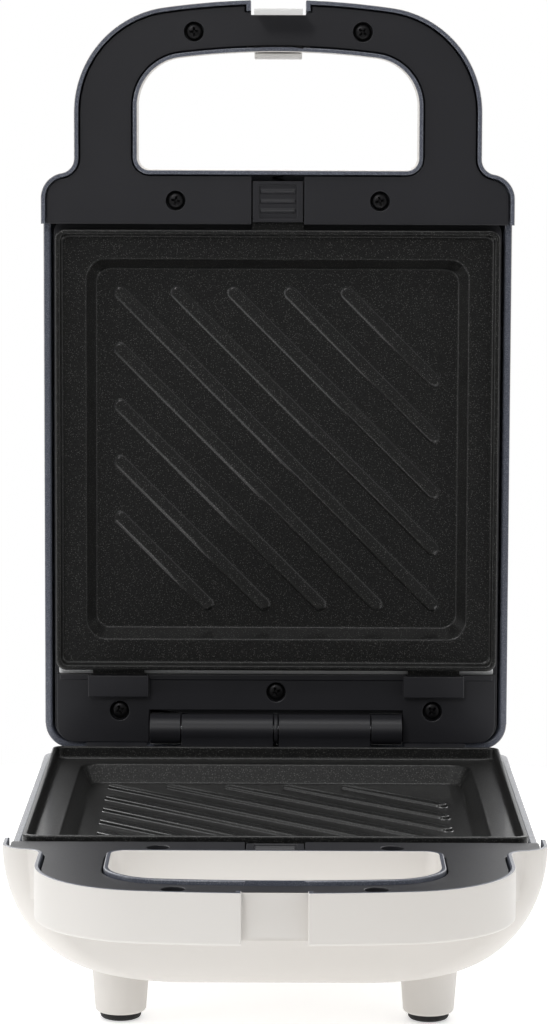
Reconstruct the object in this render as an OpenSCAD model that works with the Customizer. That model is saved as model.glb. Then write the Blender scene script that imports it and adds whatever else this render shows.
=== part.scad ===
// Hinged sandwich toaster: two mirrored halves, each a shell, an inner frame, a heated pan and a
// removable ribbed plate, joined by a rear hinge and held shut by a rocker latch on the handle.
//
// Every piece is drawn with both halves shut. X is to the right, Y to the back, Z up; Z 0 is the
// parting plane, Y 0 the back edge of the plates. Base pieces lie below the parting plane, and
// lid pieces are the same forms flipped above it. The last step stands the toaster on Z 0 and
// swings the lid open.

/* [Cooking plates] */
// Side of the square cooking plate
plate_size = 140; // [130:1:180]
// Depth of the shelf inside the plate's rim
shelf_depth = 4.1; // [3:0.1:6]
// Depth of the cooking floor under the rim
floor_depth = 9.3; // [7:0.1:12]
// Width of the shelf, from the plate's edge to the sloped wall
shelf_width = 9.5; // [7:0.1:14]
// Thickness of the cast plate
plate_wall = 1.7; // [1.2:0.1:2.4]
// Number of diagonal searing ribs on each side of the middle one
rib_pairs = 4; // [2:1:5]
// Distance between searing ribs, along the plate's side
rib_pitch = 18; // [14:0.5:24]
// Width of a searing rib
rib_width = 3.6; // [2:0.1:5]

/* [Body] */
// Margin of the body beside the plate
side_margin = 4.5; // [4:0.1:8]
// Length of the body behind the plate, where the hinge is
rear_reach = 26.5; // [26:0.5:34]
// Length of the body before the plate, up to the handle
front_reach = 17.8; // [17:0.2:26]
// Depth of one half, from the parting plane to its outer face
half_depth = 40.5; // [38:0.5:56]
// How far the side walls draw in on their way to the flat
side_draw = 34; // [25:1:42]
// How far the front wall draws in
front_draw = 15; // [8:1:24]
// How far the rear wall draws in
rear_draw = 12; // [8:1:20]
// Thickness of the moulded shell
shell_wall = 2.2; // [1.8:0.1:3]
// How far the side and rear rims lie behind the parting plane
rim_drop = 6.6; // [6:0.1:8]
// Height of the feet under the base
foot_height = 16; // [10:0.5:24]
// Distance between the feet, across
foot_span = 87; // [60:1:100]

/* [Handle] */
// Width over the handle loop
handle_width = 128; // [112:1:134]
// Reach of the handle loop before the body
handle_reach = 54; // [46:1:70]
// Width of the hand opening
grip_width = 88.2; // [76:0.2:96]
// Width of the bar across the front of the loop
bar_width = 16.2; // [15:0.2:22]
// Depth of one handle half
handle_depth = 14.2; // [14:0.2:18]
// Thickness of the handle's rim
rim_wall = 1.4; // [1.2:0.1:2]

/* [Hinge and latch] */
// Half length of the hinge
hinge_half = 40.2; // [36:0.2:40.6]
// Half length of the base's pair of barrels
knuckle_half = 30.1; // [24:0.1:32]
// Distance of the hinge pin inside the body's rear end
hinge_inset = 7.3; // [7.2:0.1:7.8]
// Height of the hinge pin over the parting plane
hinge_up = 1.9; // [1.5:0.1:2.1]
// Radius of the hinge barrels
barrel_r = 4.8; // [4:0.1:4.9]
// Radius of the hinge pin
pin_r = 1.5; // [1:0.1:1.8]
// Width of the latch
latch_width = 15; // [10:0.5:20]
// Thickness of the latch's arm
latch_arm = 1.2; // [1:0.1:1.6]
// Travel of the plate release clips
clip_travel = 1.7; // [1.2:0.1:2]

/* [Clearances] */
// Gap between neighbours that stay put
seat_gap = 0.1; // [0.05:0.05:0.2]
// Gap between pieces that pass each other
pass_gap = 0.3; // [0.2:0.05:0.5]
// Radial gap of a pin in its bore
pin_gap = 0.05; // [0.02:0.01:0.08]

/* [Hidden] */

CREAM = [0.89, 0.87, 0.84];
CHARCOAL = [0.20, 0.20, 0.22];
NONSTICK = [0.12, 0.12, 0.12];
BARE_METAL = [0.78, 0.78, 0.80];
ARC_FN = 48;

// Places along Y
plate_front = -plate_size;
shoulder_y = plate_front - front_reach;
handle_front = shoulder_y - handle_reach;
step_y = plate_front - 1.7;
half_width = plate_size / 2 + side_margin;
hinge_back = rear_reach - hinge_inset;
ledge_front = 1.9;
lip_width = 1.7;
lip_rise = 0.5;

// Levels under the parting plane
plate_top = 0.15;
handle_rim = 0.3;
face_top = 1.4;
face_wall = 2.2;
rear_face_top = 4.2;
rear_step_top = hinge_inset - hinge_up + 0.4;
rear_step_y = hinge_back + 1.4;
retainer_top = 0.6;
plate_skirt = 6.1;
flange_top = plate_skirt + seat_gap;
sheet = 0.8;
ring_top = flange_top + sheet + seat_gap;
ring_bottom = ring_top + face_wall;
window_margin = 6.5;
heater_r = 3.2;
floor_under = floor_depth + plate_wall;
heater_z = floor_under + 0.3 + heater_r;
pan_depth = heater_z + heater_r + 3.8;

// Plan of the handle loop
shoulder_r = 8;
rear_r = 8;
nook_r = 4.6;
loop_r = 33;
loop_sweep_r = 255.8;
grip_r = 15.2;
grip_sweep_r = 247.3;
grip_back_r = 3.8;
grip_back = shoulder_y - 0.9;
// The shoulder's and the nook's arcs meet at this lean where the side step is too short for both
nook_lean = asin(max(0, 1 - (half_width - handle_width / 2) / (shoulder_r + nook_r)));
nook_y = shoulder_y + shoulder_r - (shoulder_r + nook_r) * cos(nook_lean);
face_gap = 0.5;

// Latch channel round the front bar
channel_half = latch_width / 2 + 1.1;
channel_nose = 1.2;
channel_depth = 4.8;
panel_y = handle_front + channel_depth;
channel_floor = handle_depth - 3.1;
latch_pivot_y = handle_front + 9.8;
latch_pivot_z = handle_depth - 5.2;
latch_pin_r = 1;
ear_x = 4.9;
hook_z = handle_depth - 1.1;

// Release clip
window_half = 8.3;
clip_half = 7.9;
clip_back = step_y - 0.7;
clip_front = grip_back + rim_wall + pass_gap + clip_travel;
clip_border = 1.2;
clip_side_border = 2;
tab_half = 8.2;
tab_x = plate_size / 2 - 19.7;
retainer_half = 9.6;
tab_top = 3.6;
tab_bottom = 5.2;

// Screws of one half: [x, y, level of the face it sinks in]
loop_screw_x = 26.4;
loop_screw_y = handle_front + 10;
neck_screw_x = 32.1;
neck_screw_y = plate_front - 9.1;
ledge_screw_x = 50;
SCREWS = [[-loop_screw_x, loop_screw_y, face_top], [loop_screw_x, loop_screw_y, face_top],
    [-neck_screw_x, neck_screw_y, face_top], [neck_screw_x, neck_screw_y, face_top],
    [0, ledge_front + 5.7, rear_face_top],
    [-ledge_screw_x, ledge_front + 11.8, rear_face_top],
    [ledge_screw_x, ledge_front + 11.8, rear_face_top]];
screw_head_r = 2.7;
screw_well_r = 3.1;
screw_well = 2.6;
screw_shank_r = 1.5;
screw_length = 7.5;
screw_bore = 6;
boss_r = 3.8;
cup_depth = 5;

// Feet
foot_x = foot_span / 2;
FEET_Y = [plate_front + 20, -17];
foot_rise = 8;
foot_top_r = 8.8;
foot_end_r = 7.2;
foot_edge = 0.8;
pad_r = 5.8;
pad_edge = 0.8;
pad_stud_r = 4;
pad_stud = 2.4;
pad_height = 2;

// Cord gland in the rear wall
gland_x = 36;
gland_z = 24;
gland_bore_r = 3.4;
gland_barrel_r = 5;
gland_flange_r = 7;
gland_seat_y = rear_reach - 1.9;

// Where the toaster stands, with its lid open a quarter turn
lid_open = 90;
stand_z = half_depth + foot_height;
stand_y = -(handle_front + hinge_back - hinge_up + half_depth) / 2;

// ---- Frames of reference ----

module standing() {
    translate([0, stand_y, stand_z]) children();
}

module base() {
    standing() children();
}

module lid() {
    standing()
        translate([0, hinge_back, hinge_up])
            rotate([-lid_open, 0, 0])
                translate([0, -hinge_back, -hinge_up]) children();
}

// A form drawn under the parting plane, flipped into the lid
module lid_flip() {
    lid() mirror([0, 0, 1]) children();
}

// A block given by its two corners
module block(low, high) {
    translate(low) cube(high - low);
}

// A rod along X
module rod_x(r, x0, x1, y, z) {
    translate([x0, y, z]) rotate([0, 90, 0]) cylinder(r = r, h = x1 - x0, $fn = ARC_FN);
}

// A rod along Y
module rod_y(r, y0, y1, x, z) {
    translate([x, y1, z]) rotate([90, 0, 0]) cylinder(r = r, h = y1 - y0, $fn = ARC_FN);
}

module both_sides() {
    children();
    mirror([1, 0, 0]) children();
}

// ---- Plan outlines ----

function arc(cx, cy, r, from, to, steps) =
    [for (i = [0:steps]) let (a = from + (to - from) * i / steps) [cx + r * cos(a), cy + r * sin(a)]];

function reflected(half) = [for (i = [len(half) - 1:-1:0]) [-half[i][0], half[i][1]]];

// Front of a loop: a corner arc of radius r that runs into a shallow sweep of radius big
function loop_lean(half_w, r, big) = asin((half_w - r) / (big - r));

function loop_front(half_w, front, r, big, d) =
    let (lean = loop_lean(half_w, r, big), cy = front + big - (big - r) * cos(lean))
    concat(arc(half_w - r, cy, r - d, 0, lean - 90, 10),
        arc(0, front + big, big - d, lean - 90, lean / 4 - 90, 3));

// Outline of the body with its handle, drawn in by d
function body_half(d) = concat(
    arc(half_width - rear_r, rear_reach - rear_r, rear_r - d, 90, 0, 8),
    arc(half_width - shoulder_r, shoulder_y + shoulder_r, shoulder_r - d, 0, nook_lean - 90, 8),
    arc(handle_width / 2 + nook_r, nook_y, nook_r + d, nook_lean + 90, 180, 6),
    loop_front(handle_width / 2, handle_front, loop_r, loop_sweep_r, d));

function body_outline(d) =
    concat(body_half(d), [[0, handle_front + d]], reflected(body_half(d)));

// Outline of the hand opening, let out by d
function grip_half(d) = concat(
    arc(grip_width / 2 - grip_back_r, grip_back - grip_back_r, grip_back_r + d, 90, 0, 4),
    loop_front(grip_width / 2, handle_front + bar_width, grip_r, grip_sweep_r, -d));

function grip_outline(d) =
    concat(grip_half(d), [[0, handle_front + bar_width - d]], reflected(grip_half(d)));

// The handle loop alone, from a line inside the shoulders to the front
function loop_half(d, back) = concat(
    [[handle_width / 2 + nook_r * (1 - sin(nook_lean)), back]],
    arc(handle_width / 2 + nook_r, nook_y, nook_r + d, nook_lean + 90, 180, 6),
    loop_front(handle_width / 2, handle_front, loop_r, loop_sweep_r, d));

function loop_outline(d, back) =
    concat(loop_half(d, back), [[0, handle_front + d]], reflected(loop_half(d, back)));

module rounded_plan(half_w, front, back, r) {
    polygon(concat(
        arc(half_w - r, back - r, r, 90, 0, 6), arc(half_w - r, front + r, r, 0, -90, 6),
        arc(r - half_w, front + r, r, -90, -180, 6), arc(r - half_w, back - r, r, 180, 90, 6)));
}

module layer(top, bottom) {
    translate([0, 0, -bottom]) linear_extrude(bottom - top) children();
}

// ---- Bowl of a shell ----

// Share of the draw at a depth: a superellipse, upright at the rim and level at the bottom
BOWL_POWER = 2;
// Growth of the plan's corner radius from the rim to the bottom
BOWL_CORNER = 12;
BOWL_RINGS = 11;
RING_STEPS = 6;

function drawn(t) = 1 - pow(1 - pow(t, BOWL_POWER), 1 / BOWL_POWER);

function bowl_t(i) = sin(90 * i / BOWL_RINGS);

function bowl_ring(t, depth, wall) =
    let (s = drawn(t), w = half_width - wall - side_draw * s, f = shoulder_y + wall + front_draw * s,
        b = rear_reach - wall - rear_draw * s, r = shoulder_r - wall + BOWL_CORNER * s, z = -depth * t)
    [for (p = concat(
        arc(w - r, b - r, r, 90, 0, RING_STEPS), arc(w - r, f + r, r, 0, -90, RING_STEPS),
        arc(r - w, f + r, r, -90, -180, RING_STEPS), arc(r - w, b - r, r, 180, 90, RING_STEPS)))
        [p[0], p[1], z]];

// A bowl to a depth; a lift continues its walls straight up past the parting plane
module bowl(depth, wall, lift) {
    n = 4 * (RING_STEPS + 1);
    top = [for (p = bowl_ring(0, depth, wall)) [p[0], p[1], lift]];
    rings = concat([top], [for (i = [lift > 0 ? 0 : 1:BOWL_RINGS]) bowl_ring(bowl_t(i), depth, wall)]);
    last = len(rings) - 1;
    polyhedron([for (ring = rings, p = ring) p], concat(
        [[for (i = [0:n - 1]) i]],
        [for (k = [0:last - 1], i = [0:n - 1]) let (j = (i + 1) % n)
            each [[k * n + j, k * n + i, (k + 1) * n + j], [(k + 1) * n + j, k * n + i, (k + 1) * n + i]]],
        [[for (i = [n - 1:-1:0]) last * n + i]]));
}

// ---- Parts that both halves have ----

module shell_bosses() {
    for (s = SCREWS)
        translate([s[0], s[1], -half_depth])
            cylinder(r = boss_r, h = half_depth - s[2] - cup_depth - seat_gap, $fn = ARC_FN);
}

// Shell of one half; what is added as children is hollowed with it
module half_shell() {
    difference() {
        union() {
            children();
            bowl(half_depth, 0, 0);
            layer(0, handle_depth) polygon(loop_outline(0, shoulder_y + shell_wall));
        }
        difference() {
            union() {
                bowl(half_depth - shell_wall, shell_wall, 1);
                layer(-1, handle_depth - 1.6)
                    polygon(loop_outline(rim_wall, shoulder_y + shell_wall + 2));
                // The wall thins to its rim round the frame's face
                layer(-1, face_top + face_wall + face_gap) neck_face(rim_wall);
            }
            layer(-2, handle_depth) polygon(grip_outline(rim_wall));
            shell_bosses();
            // The latch channel's side walls, its back panel, and the sill that the latch hooks under
            both_sides()
                block([channel_half - 1, handle_front, -handle_depth],
                    [channel_half + rim_wall, panel_y - channel_nose, 0]);
            block([-channel_half - rim_wall, handle_front, -handle_depth],
                [channel_half + rim_wall, panel_y + rim_wall, -face_top - face_wall - seat_gap]);
            block([-channel_half - rim_wall, handle_front, -handle_depth],
                [channel_half + rim_wall, panel_y + 5, -handle_depth + 3.2]);
        }
        layer(-2, handle_depth + 1) polygon(grip_outline(0));
        // Rims stand a little back from the parting plane before the step, and further behind it
        block([-half_width - 1, handle_front - 1, -handle_rim], [half_width + 1, rear_reach + 1, 2]);
        block([-half_width - 1, step_y, -rim_drop], [half_width + 1, rear_reach + 1, 2]);
        block([-channel_half, handle_front - 1, -handle_depth - 1], [channel_half, panel_y, 1]);
        for (s = SCREWS)
            translate([s[0], s[1], -s[2] - cup_depth - screw_bore])
                cylinder(r = screw_shank_r, h = screw_bore + 1, $fn = ARC_FN);
    }
}

// Outline of the face before the plate, drawn in by d
module neck_face(d) {
    intersection() {
        polygon(body_outline(d));
        translate([-half_width, handle_front]) square([2 * half_width, step_y - handle_front]);
    }
}

// Frame: the face round the grip, the ring under the plate and the ledge before the hinge
module half_frame() {
    inset = rim_wall + face_gap;
    difference() {
        union() {
            layer(face_top, face_top + face_wall) neck_face(inset);
            block([-plate_size / 2, step_y - 2, -ring_bottom], [plate_size / 2, step_y, -face_top - 1]);
            layer(ring_top, ring_bottom)
                rounded_plan(half_width - shell_wall - 1.5, step_y - 2, rear_reach - shell_wall - 0.8,
                    rear_r - 3);
            layer(rear_face_top, ring_bottom)
                intersection() {
                    rounded_plan(plate_size / 2, step_y, rear_reach - shell_wall - 0.4, rear_r - 2.6);
                    translate([-half_width, ledge_front]) square([2 * half_width, rear_reach]);
                }
            // Raised lip along the front of the ledge, and the blocks that retain the plate's tabs
            block([-plate_size / 2 + 1, ledge_front, -ring_bottom],
                [plate_size / 2 - 1, ledge_front + lip_width, lip_rise - rear_face_top]);
            both_sides()
                block([tab_x - retainer_half, ledge_front, -ring_bottom],
                    [tab_x + retainer_half, ledge_front + 6.8, -retainer_top]);
            for (s = SCREWS)
                translate([s[0], s[1], -s[2] - cup_depth])
                    cylinder(r = screw_well_r + 1.3, h = cup_depth, $fn = ARC_FN);
            clip_rails();
        }
        layer(-1, handle_depth) polygon(grip_outline(inset));
        // Notch of the latch channel, stepped round the ends of the channel's side walls
        block([-channel_half - inset, handle_front, -handle_depth],
            [channel_half + inset, panel_y - channel_nose + face_gap, 0]);
        block([-channel_half, handle_front, -handle_depth], [channel_half, panel_y, 0]);
        // Window that the heated pan hangs in
        layer(0, ring_bottom + 1)
            translate([window_margin - plate_size / 2, plate_front + window_margin])
                square(plate_size - 2 * window_margin);
        // Window of the release clip, and pockets for the plate's rear tabs
        block([-window_half, grip_back, -ring_top], [window_half, step_y + 1, 0]);
        both_sides()
            block([tab_x - tab_half - 0.6, 0, -tab_bottom - 0.2],
                [tab_x + tab_half + 0.6, 6.6, -tab_top + 0.2]);
        for (s = SCREWS) {
            translate([s[0], s[1], -s[2] - screw_well])
                cylinder(r = screw_well_r, h = screw_well + 1, $fn = ARC_FN);
            translate([s[0], s[1], -s[2] - cup_depth - 1])
                cylinder(r = screw_shank_r + 0.2, h = cup_depth + 2, $fn = ARC_FN);
        }
    }
}

// Guides under the face that carry the release clip
module clip_rails() {
    both_sides() {
        block([clip_half + 2.3, clip_front - 1.2, -7], [clip_half + 3.8, step_y - 1, -face_top - 1]);
        block([clip_half + 0.6, clip_front - 1.2, -7], [clip_half + 3.8, step_y - 1, -5.6]);
    }
}

// Cooking plate: rim, shelf and a sloped wall down to a ribbed floor
plate_rim = 1.6;
floor_inset = shelf_width + 3;
rib_height = 1;
rib_field = plate_size / 2 - floor_inset - 9.3;

module plate_plan(inset, r) {
    rounded_plan(plate_size / 2 - inset, plate_front + inset, -inset, r);
}

module cooking_plate() {
    difference() {
        union() {
            layer(plate_top, plate_skirt) plate_plan(0, 3);
            layer(plate_skirt - 1, floor_under) plate_plan(shelf_width - 0.2, 6);
            // Tabs that the retainers and the release clip hold
            both_sides() block([tab_x - tab_half, -1, -tab_bottom], [tab_x + tab_half, 5.6, -tab_top]);
            block([-tab_half, plate_front - 3.2, -tab_bottom], [tab_half, plate_front + 1, -tab_top]);
        }
        layer(-1, shelf_depth) plate_plan(plate_rim, 2);
        hull() {
            layer(shelf_depth - 0.02, shelf_depth) plate_plan(shelf_width, 6.3);
            layer(floor_depth - 0.02, floor_depth) plate_plan(floor_inset, 4.5);
        }
        // Hollow under the shelf, between the skirt and the sloped wall
        difference() {
            layer(shelf_depth + plate_wall, plate_skirt + 1) plate_plan(plate_rim, 2);
            layer(0, floor_under + 1) plate_plan(shelf_width - 0.2, 6);
        }
    }
    translate([0, plate_front / 2, -floor_depth]) searing_ribs();
}

// Diagonal ribs that end on a square field inside the floor
module searing_ribs() {
    for (k = [-rib_pairs:rib_pairs]) {
        middle = k * rib_pitch / 2;
        reach = (rib_field - abs(middle)) * sqrt(2);
        if (reach > rib_width)
            translate([middle, middle, -0.3]) rotate([0, 0, -45]) linear_extrude(rib_height + 0.3) {
                square([2 * reach, rib_width], center = true);
                both_sides() translate([reach, 0]) circle(d = rib_width, $fn = 32);
            }
    }
}

// Pressed pan that hangs under the plate and throws the heat back up
pan_margin = 7.5;
pan_leg_y = -24;
heater_half = 34;

module reflector() {
    half = plate_size / 2;
    difference() {
        union() {
            layer(flange_top, flange_top + sheet)
                rounded_plan(half - 0.6, plate_front + 0.6, 1.3, 3);
            layer(flange_top, pan_depth + sheet)
                rounded_plan(half - pan_margin, plate_front + pan_margin, -pan_margin, 8);
        }
        layer(flange_top - 1, pan_depth)
            rounded_plan(half - pan_margin - sheet, plate_front + pan_margin + sheet,
                -pan_margin - sheet, 7.2);
        both_sides()
            translate([heater_half, pan_leg_y, -pan_depth - 2])
                cylinder(r = heater_r + 1.2, h = 4, $fn = ARC_FN);
    }
}

// Sheathed heating tube: a U that turns down through the pan at its two ends
heater_bend = 8;
heater_turn_y = plate_front / 2 - 16;
heater_end_z = heater_z + heater_bend + 4;

function leg_path() = concat(
    [[heater_half, pan_leg_y, -heater_end_z]],
    [for (a = [0:15:90]) [heater_half, pan_leg_y - heater_bend * (1 - cos(a)),
        -heater_z - heater_bend * (1 - sin(a))]]);

function heater_path() = concat(leg_path(),
    [for (a = [0:-7.5:-180]) [heater_half * cos(a), heater_turn_y + heater_half * sin(a), -heater_z]],
    [for (p = reverse(leg_path())) [-p[0], p[1], p[2]]]);

function reverse(list) = [for (i = [len(list) - 1:-1:0]) list[i]];

module heater() {
    wire(heater_path(), heater_r, 16, [0, 0, 1]);
    both_sides()
        translate([heater_half, pan_leg_y, -heater_end_z - 5]) cylinder(r = 1.3, h = 6, $fn = ARC_FN);
}

// Saddles that hold the tube off the pan
CLAMPS_Y = [0.3, 0.55];

module heater_clamps() {
    for (share = CLAMPS_Y)
        both_sides()
            difference() {
                block([heater_half - 6, plate_front * share - 5, -pan_depth + seat_gap],
                    [heater_half + 6, plate_front * share + 5, -heater_z]);
                rod_y(heater_r + seat_gap, plate_front * share - 6, plate_front * share + 6,
                    heater_half, -heater_z);
            }
}

// Disc thermostat under the pan
thermostat_r = 8;

module thermostat() {
    translate([0, plate_front / 2, -pan_depth - sheet - seat_gap]) {
        translate([0, 0, -1]) cylinder(r = thermostat_r + 1.5, h = 1, $fn = ARC_FN);
        translate([0, 0, -8]) cylinder(r = thermostat_r, h = 7.1, $fn = ARC_FN);
        both_sides() block([3, -3, -12], [3.8, 3, -7.9]);
    }
}

// Release clip: a thumb slide with a raised border, whose back edge lies over the plate's tab
module release_clip() {
    well_half = clip_half - clip_side_border;
    difference() {
        block([-clip_half, clip_front, -3.3], [clip_half, clip_back, -1.6]);
        block([-well_half, clip_front + clip_border, -2.2], [well_half, clip_back - clip_border, -1]);
    }
    for (k = [-1:1])
        rod_x(0.7, -well_half + 0.5, well_half - 0.5, (clip_front + clip_back) / 2 + 3 * k, -2.4);
    block([0.3 - clip_half, clip_front, -4.5], [clip_half - 0.3, step_y - 2.6, -3.2]);
    block([-clip_half - 1.9, clip_front, -5.3], [clip_half + 1.9, step_y - 2.6, -3.9]);
    block([-3, step_y - 6, -9.8], [3, step_y - 4.5, -5.2]);
}

// A wire swept along points, with a round section; its rings are set out from the direction up
function wire_ring(p, along, r, sides, up) =
    let (t = along / norm(along), u0 = cross(abs(t * up) > 0.99 ? [0, 1, 0] : up, t),
        u = u0 / norm(u0), v = cross(t, u))
    [for (i = [0:sides - 1]) p + r * (u * cos(360 * i / sides) + v * sin(360 * i / sides))];

module wire(path, r, sides, up) {
    n = len(path);
    rings = [for (k = [0:n - 1])
        wire_ring(path[k], path[min(k + 1, n - 1)] - path[max(k - 1, 0)], r, sides, up)];
    polyhedron([for (ring = rings, p = ring) p], concat(
        [[for (i = [0:sides - 1]) i]],
        [for (k = [0:n - 2], i = [0:sides - 1]) let (j = (i + 1) % sides)
            each [[k * sides + j, k * sides + i, (k + 1) * sides + i],
                [k * sides + j, (k + 1) * sides + i, (k + 1) * sides + j]]],
        [[for (i = [sides - 1:-1:0]) (n - 1) * sides + i]]));
}

// A coil spring along Y
module coil_y(x, y0, y1, z, coil_r, wire_r, turns) {
    per_turn = 10;
    steps = turns * per_turn;
    wire([for (i = [0:steps]) let (a = 360 * i / per_turn)
        [x + coil_r * cos(a), y0 + wire_r + (y1 - y0 - 2 * wire_r) * i / steps, z + coil_r * sin(a)]],
        wire_r, 6, [0, 1, 0]);
}

clip_spring_r = 1.7;
clip_spring_wire = 0.25;

module clip_spring() {
    coil_y(0, grip_back + rim_wall + seat_gap, step_y - 6 - seat_gap, -7.6,
        clip_spring_r, clip_spring_wire, 6);
}

// Cross-head screws that hold the frame to the shell
module frame_screws() {
    for (s = SCREWS)
        translate([s[0], s[1], -s[2] - screw_well + seat_gap / 2])
            difference() {
                union() {
                    cylinder(r = screw_head_r, h = 1.5, $fn = 32);
                    translate([0, 0, -screw_length])
                        cylinder(r = screw_shank_r - seat_gap, h = screw_length + 0.1, $fn = 32);
                }
                for (turn = [20, 110])
                    rotate([0, 0, turn]) block([-1.7, -0.35, 0.6], [1.7, 0.35, 2]);
            }
}

// ---- Base ----

module foot_posts() {
    for (y = FEET_Y)
        both_sides()
            translate([foot_x, y, -stand_z + pad_height + seat_gap]) {
                cylinder(r1 = foot_end_r - foot_edge, r2 = foot_end_r, h = foot_edge, $fn = ARC_FN);
                translate([0, 0, foot_edge])
                    cylinder(r1 = foot_end_r, r2 = foot_top_r,
                        h = foot_height + foot_rise - pad_height - foot_edge, $fn = ARC_FN);
            }
}

module lower_shell() {
    color(CREAM) base() difference() {
        union() {
            half_shell() foot_posts();
            rod_y(gland_flange_r + 1.2, gland_seat_y - 8, gland_seat_y, gland_x, -gland_z);
            // Posts of the terminal block
            for (x = TERMINAL_POSTS)
                translate([x, terminal_y, -half_depth + 0.5]) cylinder(r = 3, h = 6, $fn = ARC_FN);
        }
        for (y = FEET_Y)
            both_sides()
                translate([foot_x, y, -stand_z])
                    cylinder(r = pad_stud_r + seat_gap, h = pad_height + pad_stud + seat_gap, $fn = ARC_FN);
        rod_y(gland_barrel_r + seat_gap, gland_seat_y - 12, gland_seat_y + 1, gland_x, -gland_z);
        rod_y(gland_flange_r + seat_gap, gland_seat_y, rear_reach + 1, gland_x, -gland_z);
        // Room behind the sill for the latch's hook
        block([-channel_half, panel_y - 1, -handle_depth - 1], [channel_half, panel_y + 2, -hook_z]);
    }
}

web_half = barrel_r - 0.7;
hinge_rib_half = 0.6;

module lower_frame() {
    color(CHARCOAL) base() difference() {
        union() {
            difference() {
                half_frame();
                // The rear end of the lid swings through here
                block([-half_width, rear_step_y, -rear_step_top], [half_width, rear_reach, 0]);
            }
            both_sides() {
                rod_x(barrel_r, hinge_rib_half + pass_gap, knuckle_half, hinge_back, hinge_up);
                block([hinge_rib_half + pass_gap, hinge_back - web_half, -rear_step_top - 1],
                    [knuckle_half, hinge_back + web_half, hinge_up]);
            }
        }
        rod_x(pin_r + pin_gap, -half_width, half_width, hinge_back, hinge_up);
    }
}

module lower_plate() {
    color(NONSTICK) base() cooking_plate();
}

module lower_reflector() {
    color(BARE_METAL) base() reflector();
}

module lower_heater() {
    color([0.45, 0.45, 0.45]) base() heater();
}

module lower_heater_clamps() {
    color(BARE_METAL) base() heater_clamps();
}

module lower_thermostat() {
    color([0.75, 0.70, 0.60]) base() thermostat();
}

fuse_y = plate_front / 2 + 24;

module thermal_fuse() {
    color([0.9, 0.9, 0.85]) base() {
        z = -pan_depth - sheet - seat_gap - 2.2;
        rod_x(2.2, -9, 9, fuse_y, z);
        rod_x(0.6, -14, 14, fuse_y, z);
    }
}

module lower_release_clip() {
    color(CHARCOAL) base() release_clip();
}

module lower_clip_spring() {
    color(BARE_METAL) base() clip_spring();
}

module lower_frame_screws() {
    color([0.1, 0.1, 0.1]) base() frame_screws();
}

TERMINAL_POSTS = [14, 34];
terminal_y = -2;
terminal_z = -half_depth + 6.5 + seat_gap;

module terminal_block() {
    color([0.92, 0.92, 0.88]) base() difference() {
        block([8, terminal_y - 6, terminal_z], [40, terminal_y + 6, terminal_z + 10]);
        for (x = [13, 24, 35])
            translate([x, terminal_y, terminal_z + 3]) cylinder(r = 2, h = 8, $fn = ARC_FN);
    }
}

wire_r = 1.1;

module lower_wiring() {
    front = terminal_y - 6.2;
    z = terminal_z + 5;
    end = -heater_end_z - 5 - wire_r - seat_gap;
    color([0.85, 0.85, 0.8]) base() {
        wire([[35, front, z], [36, front - 6, z], [36, pan_leg_y + 4, end - 1],
            [heater_half, pan_leg_y, end], [heater_half, pan_leg_y - 6, end]], wire_r, 8, [0, 0, 1]);
        wire([[13, front, z], [12, front - 8, z], [2, plate_front / 4, z - 1],
            [-20, pan_leg_y - 8, end - 1], [-heater_half, pan_leg_y - 2, end],
            [-heater_half, pan_leg_y - 6, end]], wire_r, 8, [0, 0, 1]);
        wire([[24, front, z], [24, front - 8, z], [16, plate_front / 4, z - 2],
            [8, fuse_y - 12, z - 2], [3.4, plate_front / 2 + 6, -pan_depth - 12],
            [3.4, plate_front / 2 + 3.3, -pan_depth - 12]], wire_r, 8, [0, 0, 1]);
    }
}

module cord_gland() {
    color([0.15, 0.15, 0.15]) base() difference() {
        union() {
            rod_y(gland_flange_r, gland_seat_y + seat_gap, rear_reach, gland_x, -gland_z);
            rod_y(gland_barrel_r, gland_seat_y - 12, gland_seat_y + 0.5, gland_x, -gland_z);
            rod_y(gland_flange_r, gland_seat_y - 10.2, gland_seat_y - 8.2, gland_x, -gland_z);
        }
        rod_y(gland_bore_r, gland_seat_y - 13, rear_reach + 1, gland_x, -gland_z);
    }
}

module foot_pads() {
    color([0.08, 0.08, 0.08]) base()
        for (y = FEET_Y)
            both_sides()
                translate([foot_x, y, -stand_z]) {
                    cylinder(r1 = pad_r - pad_edge, r2 = pad_r, h = pad_edge, $fn = ARC_FN);
                    translate([0, 0, pad_edge])
                        cylinder(r = pad_r, h = pad_height - pad_edge, $fn = ARC_FN);
                    cylinder(r = pad_stud_r, h = pad_height + pad_stud, $fn = ARC_FN);
                }
}

module hinge_pin() {
    color(BARE_METAL) base() rod_x(pin_r, -hinge_half + 0.3, hinge_half - 0.3, hinge_back, hinge_up);
}

// ---- Lid ----

lens_y = plate_front / 2;
lens_r = 4.5;

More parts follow.
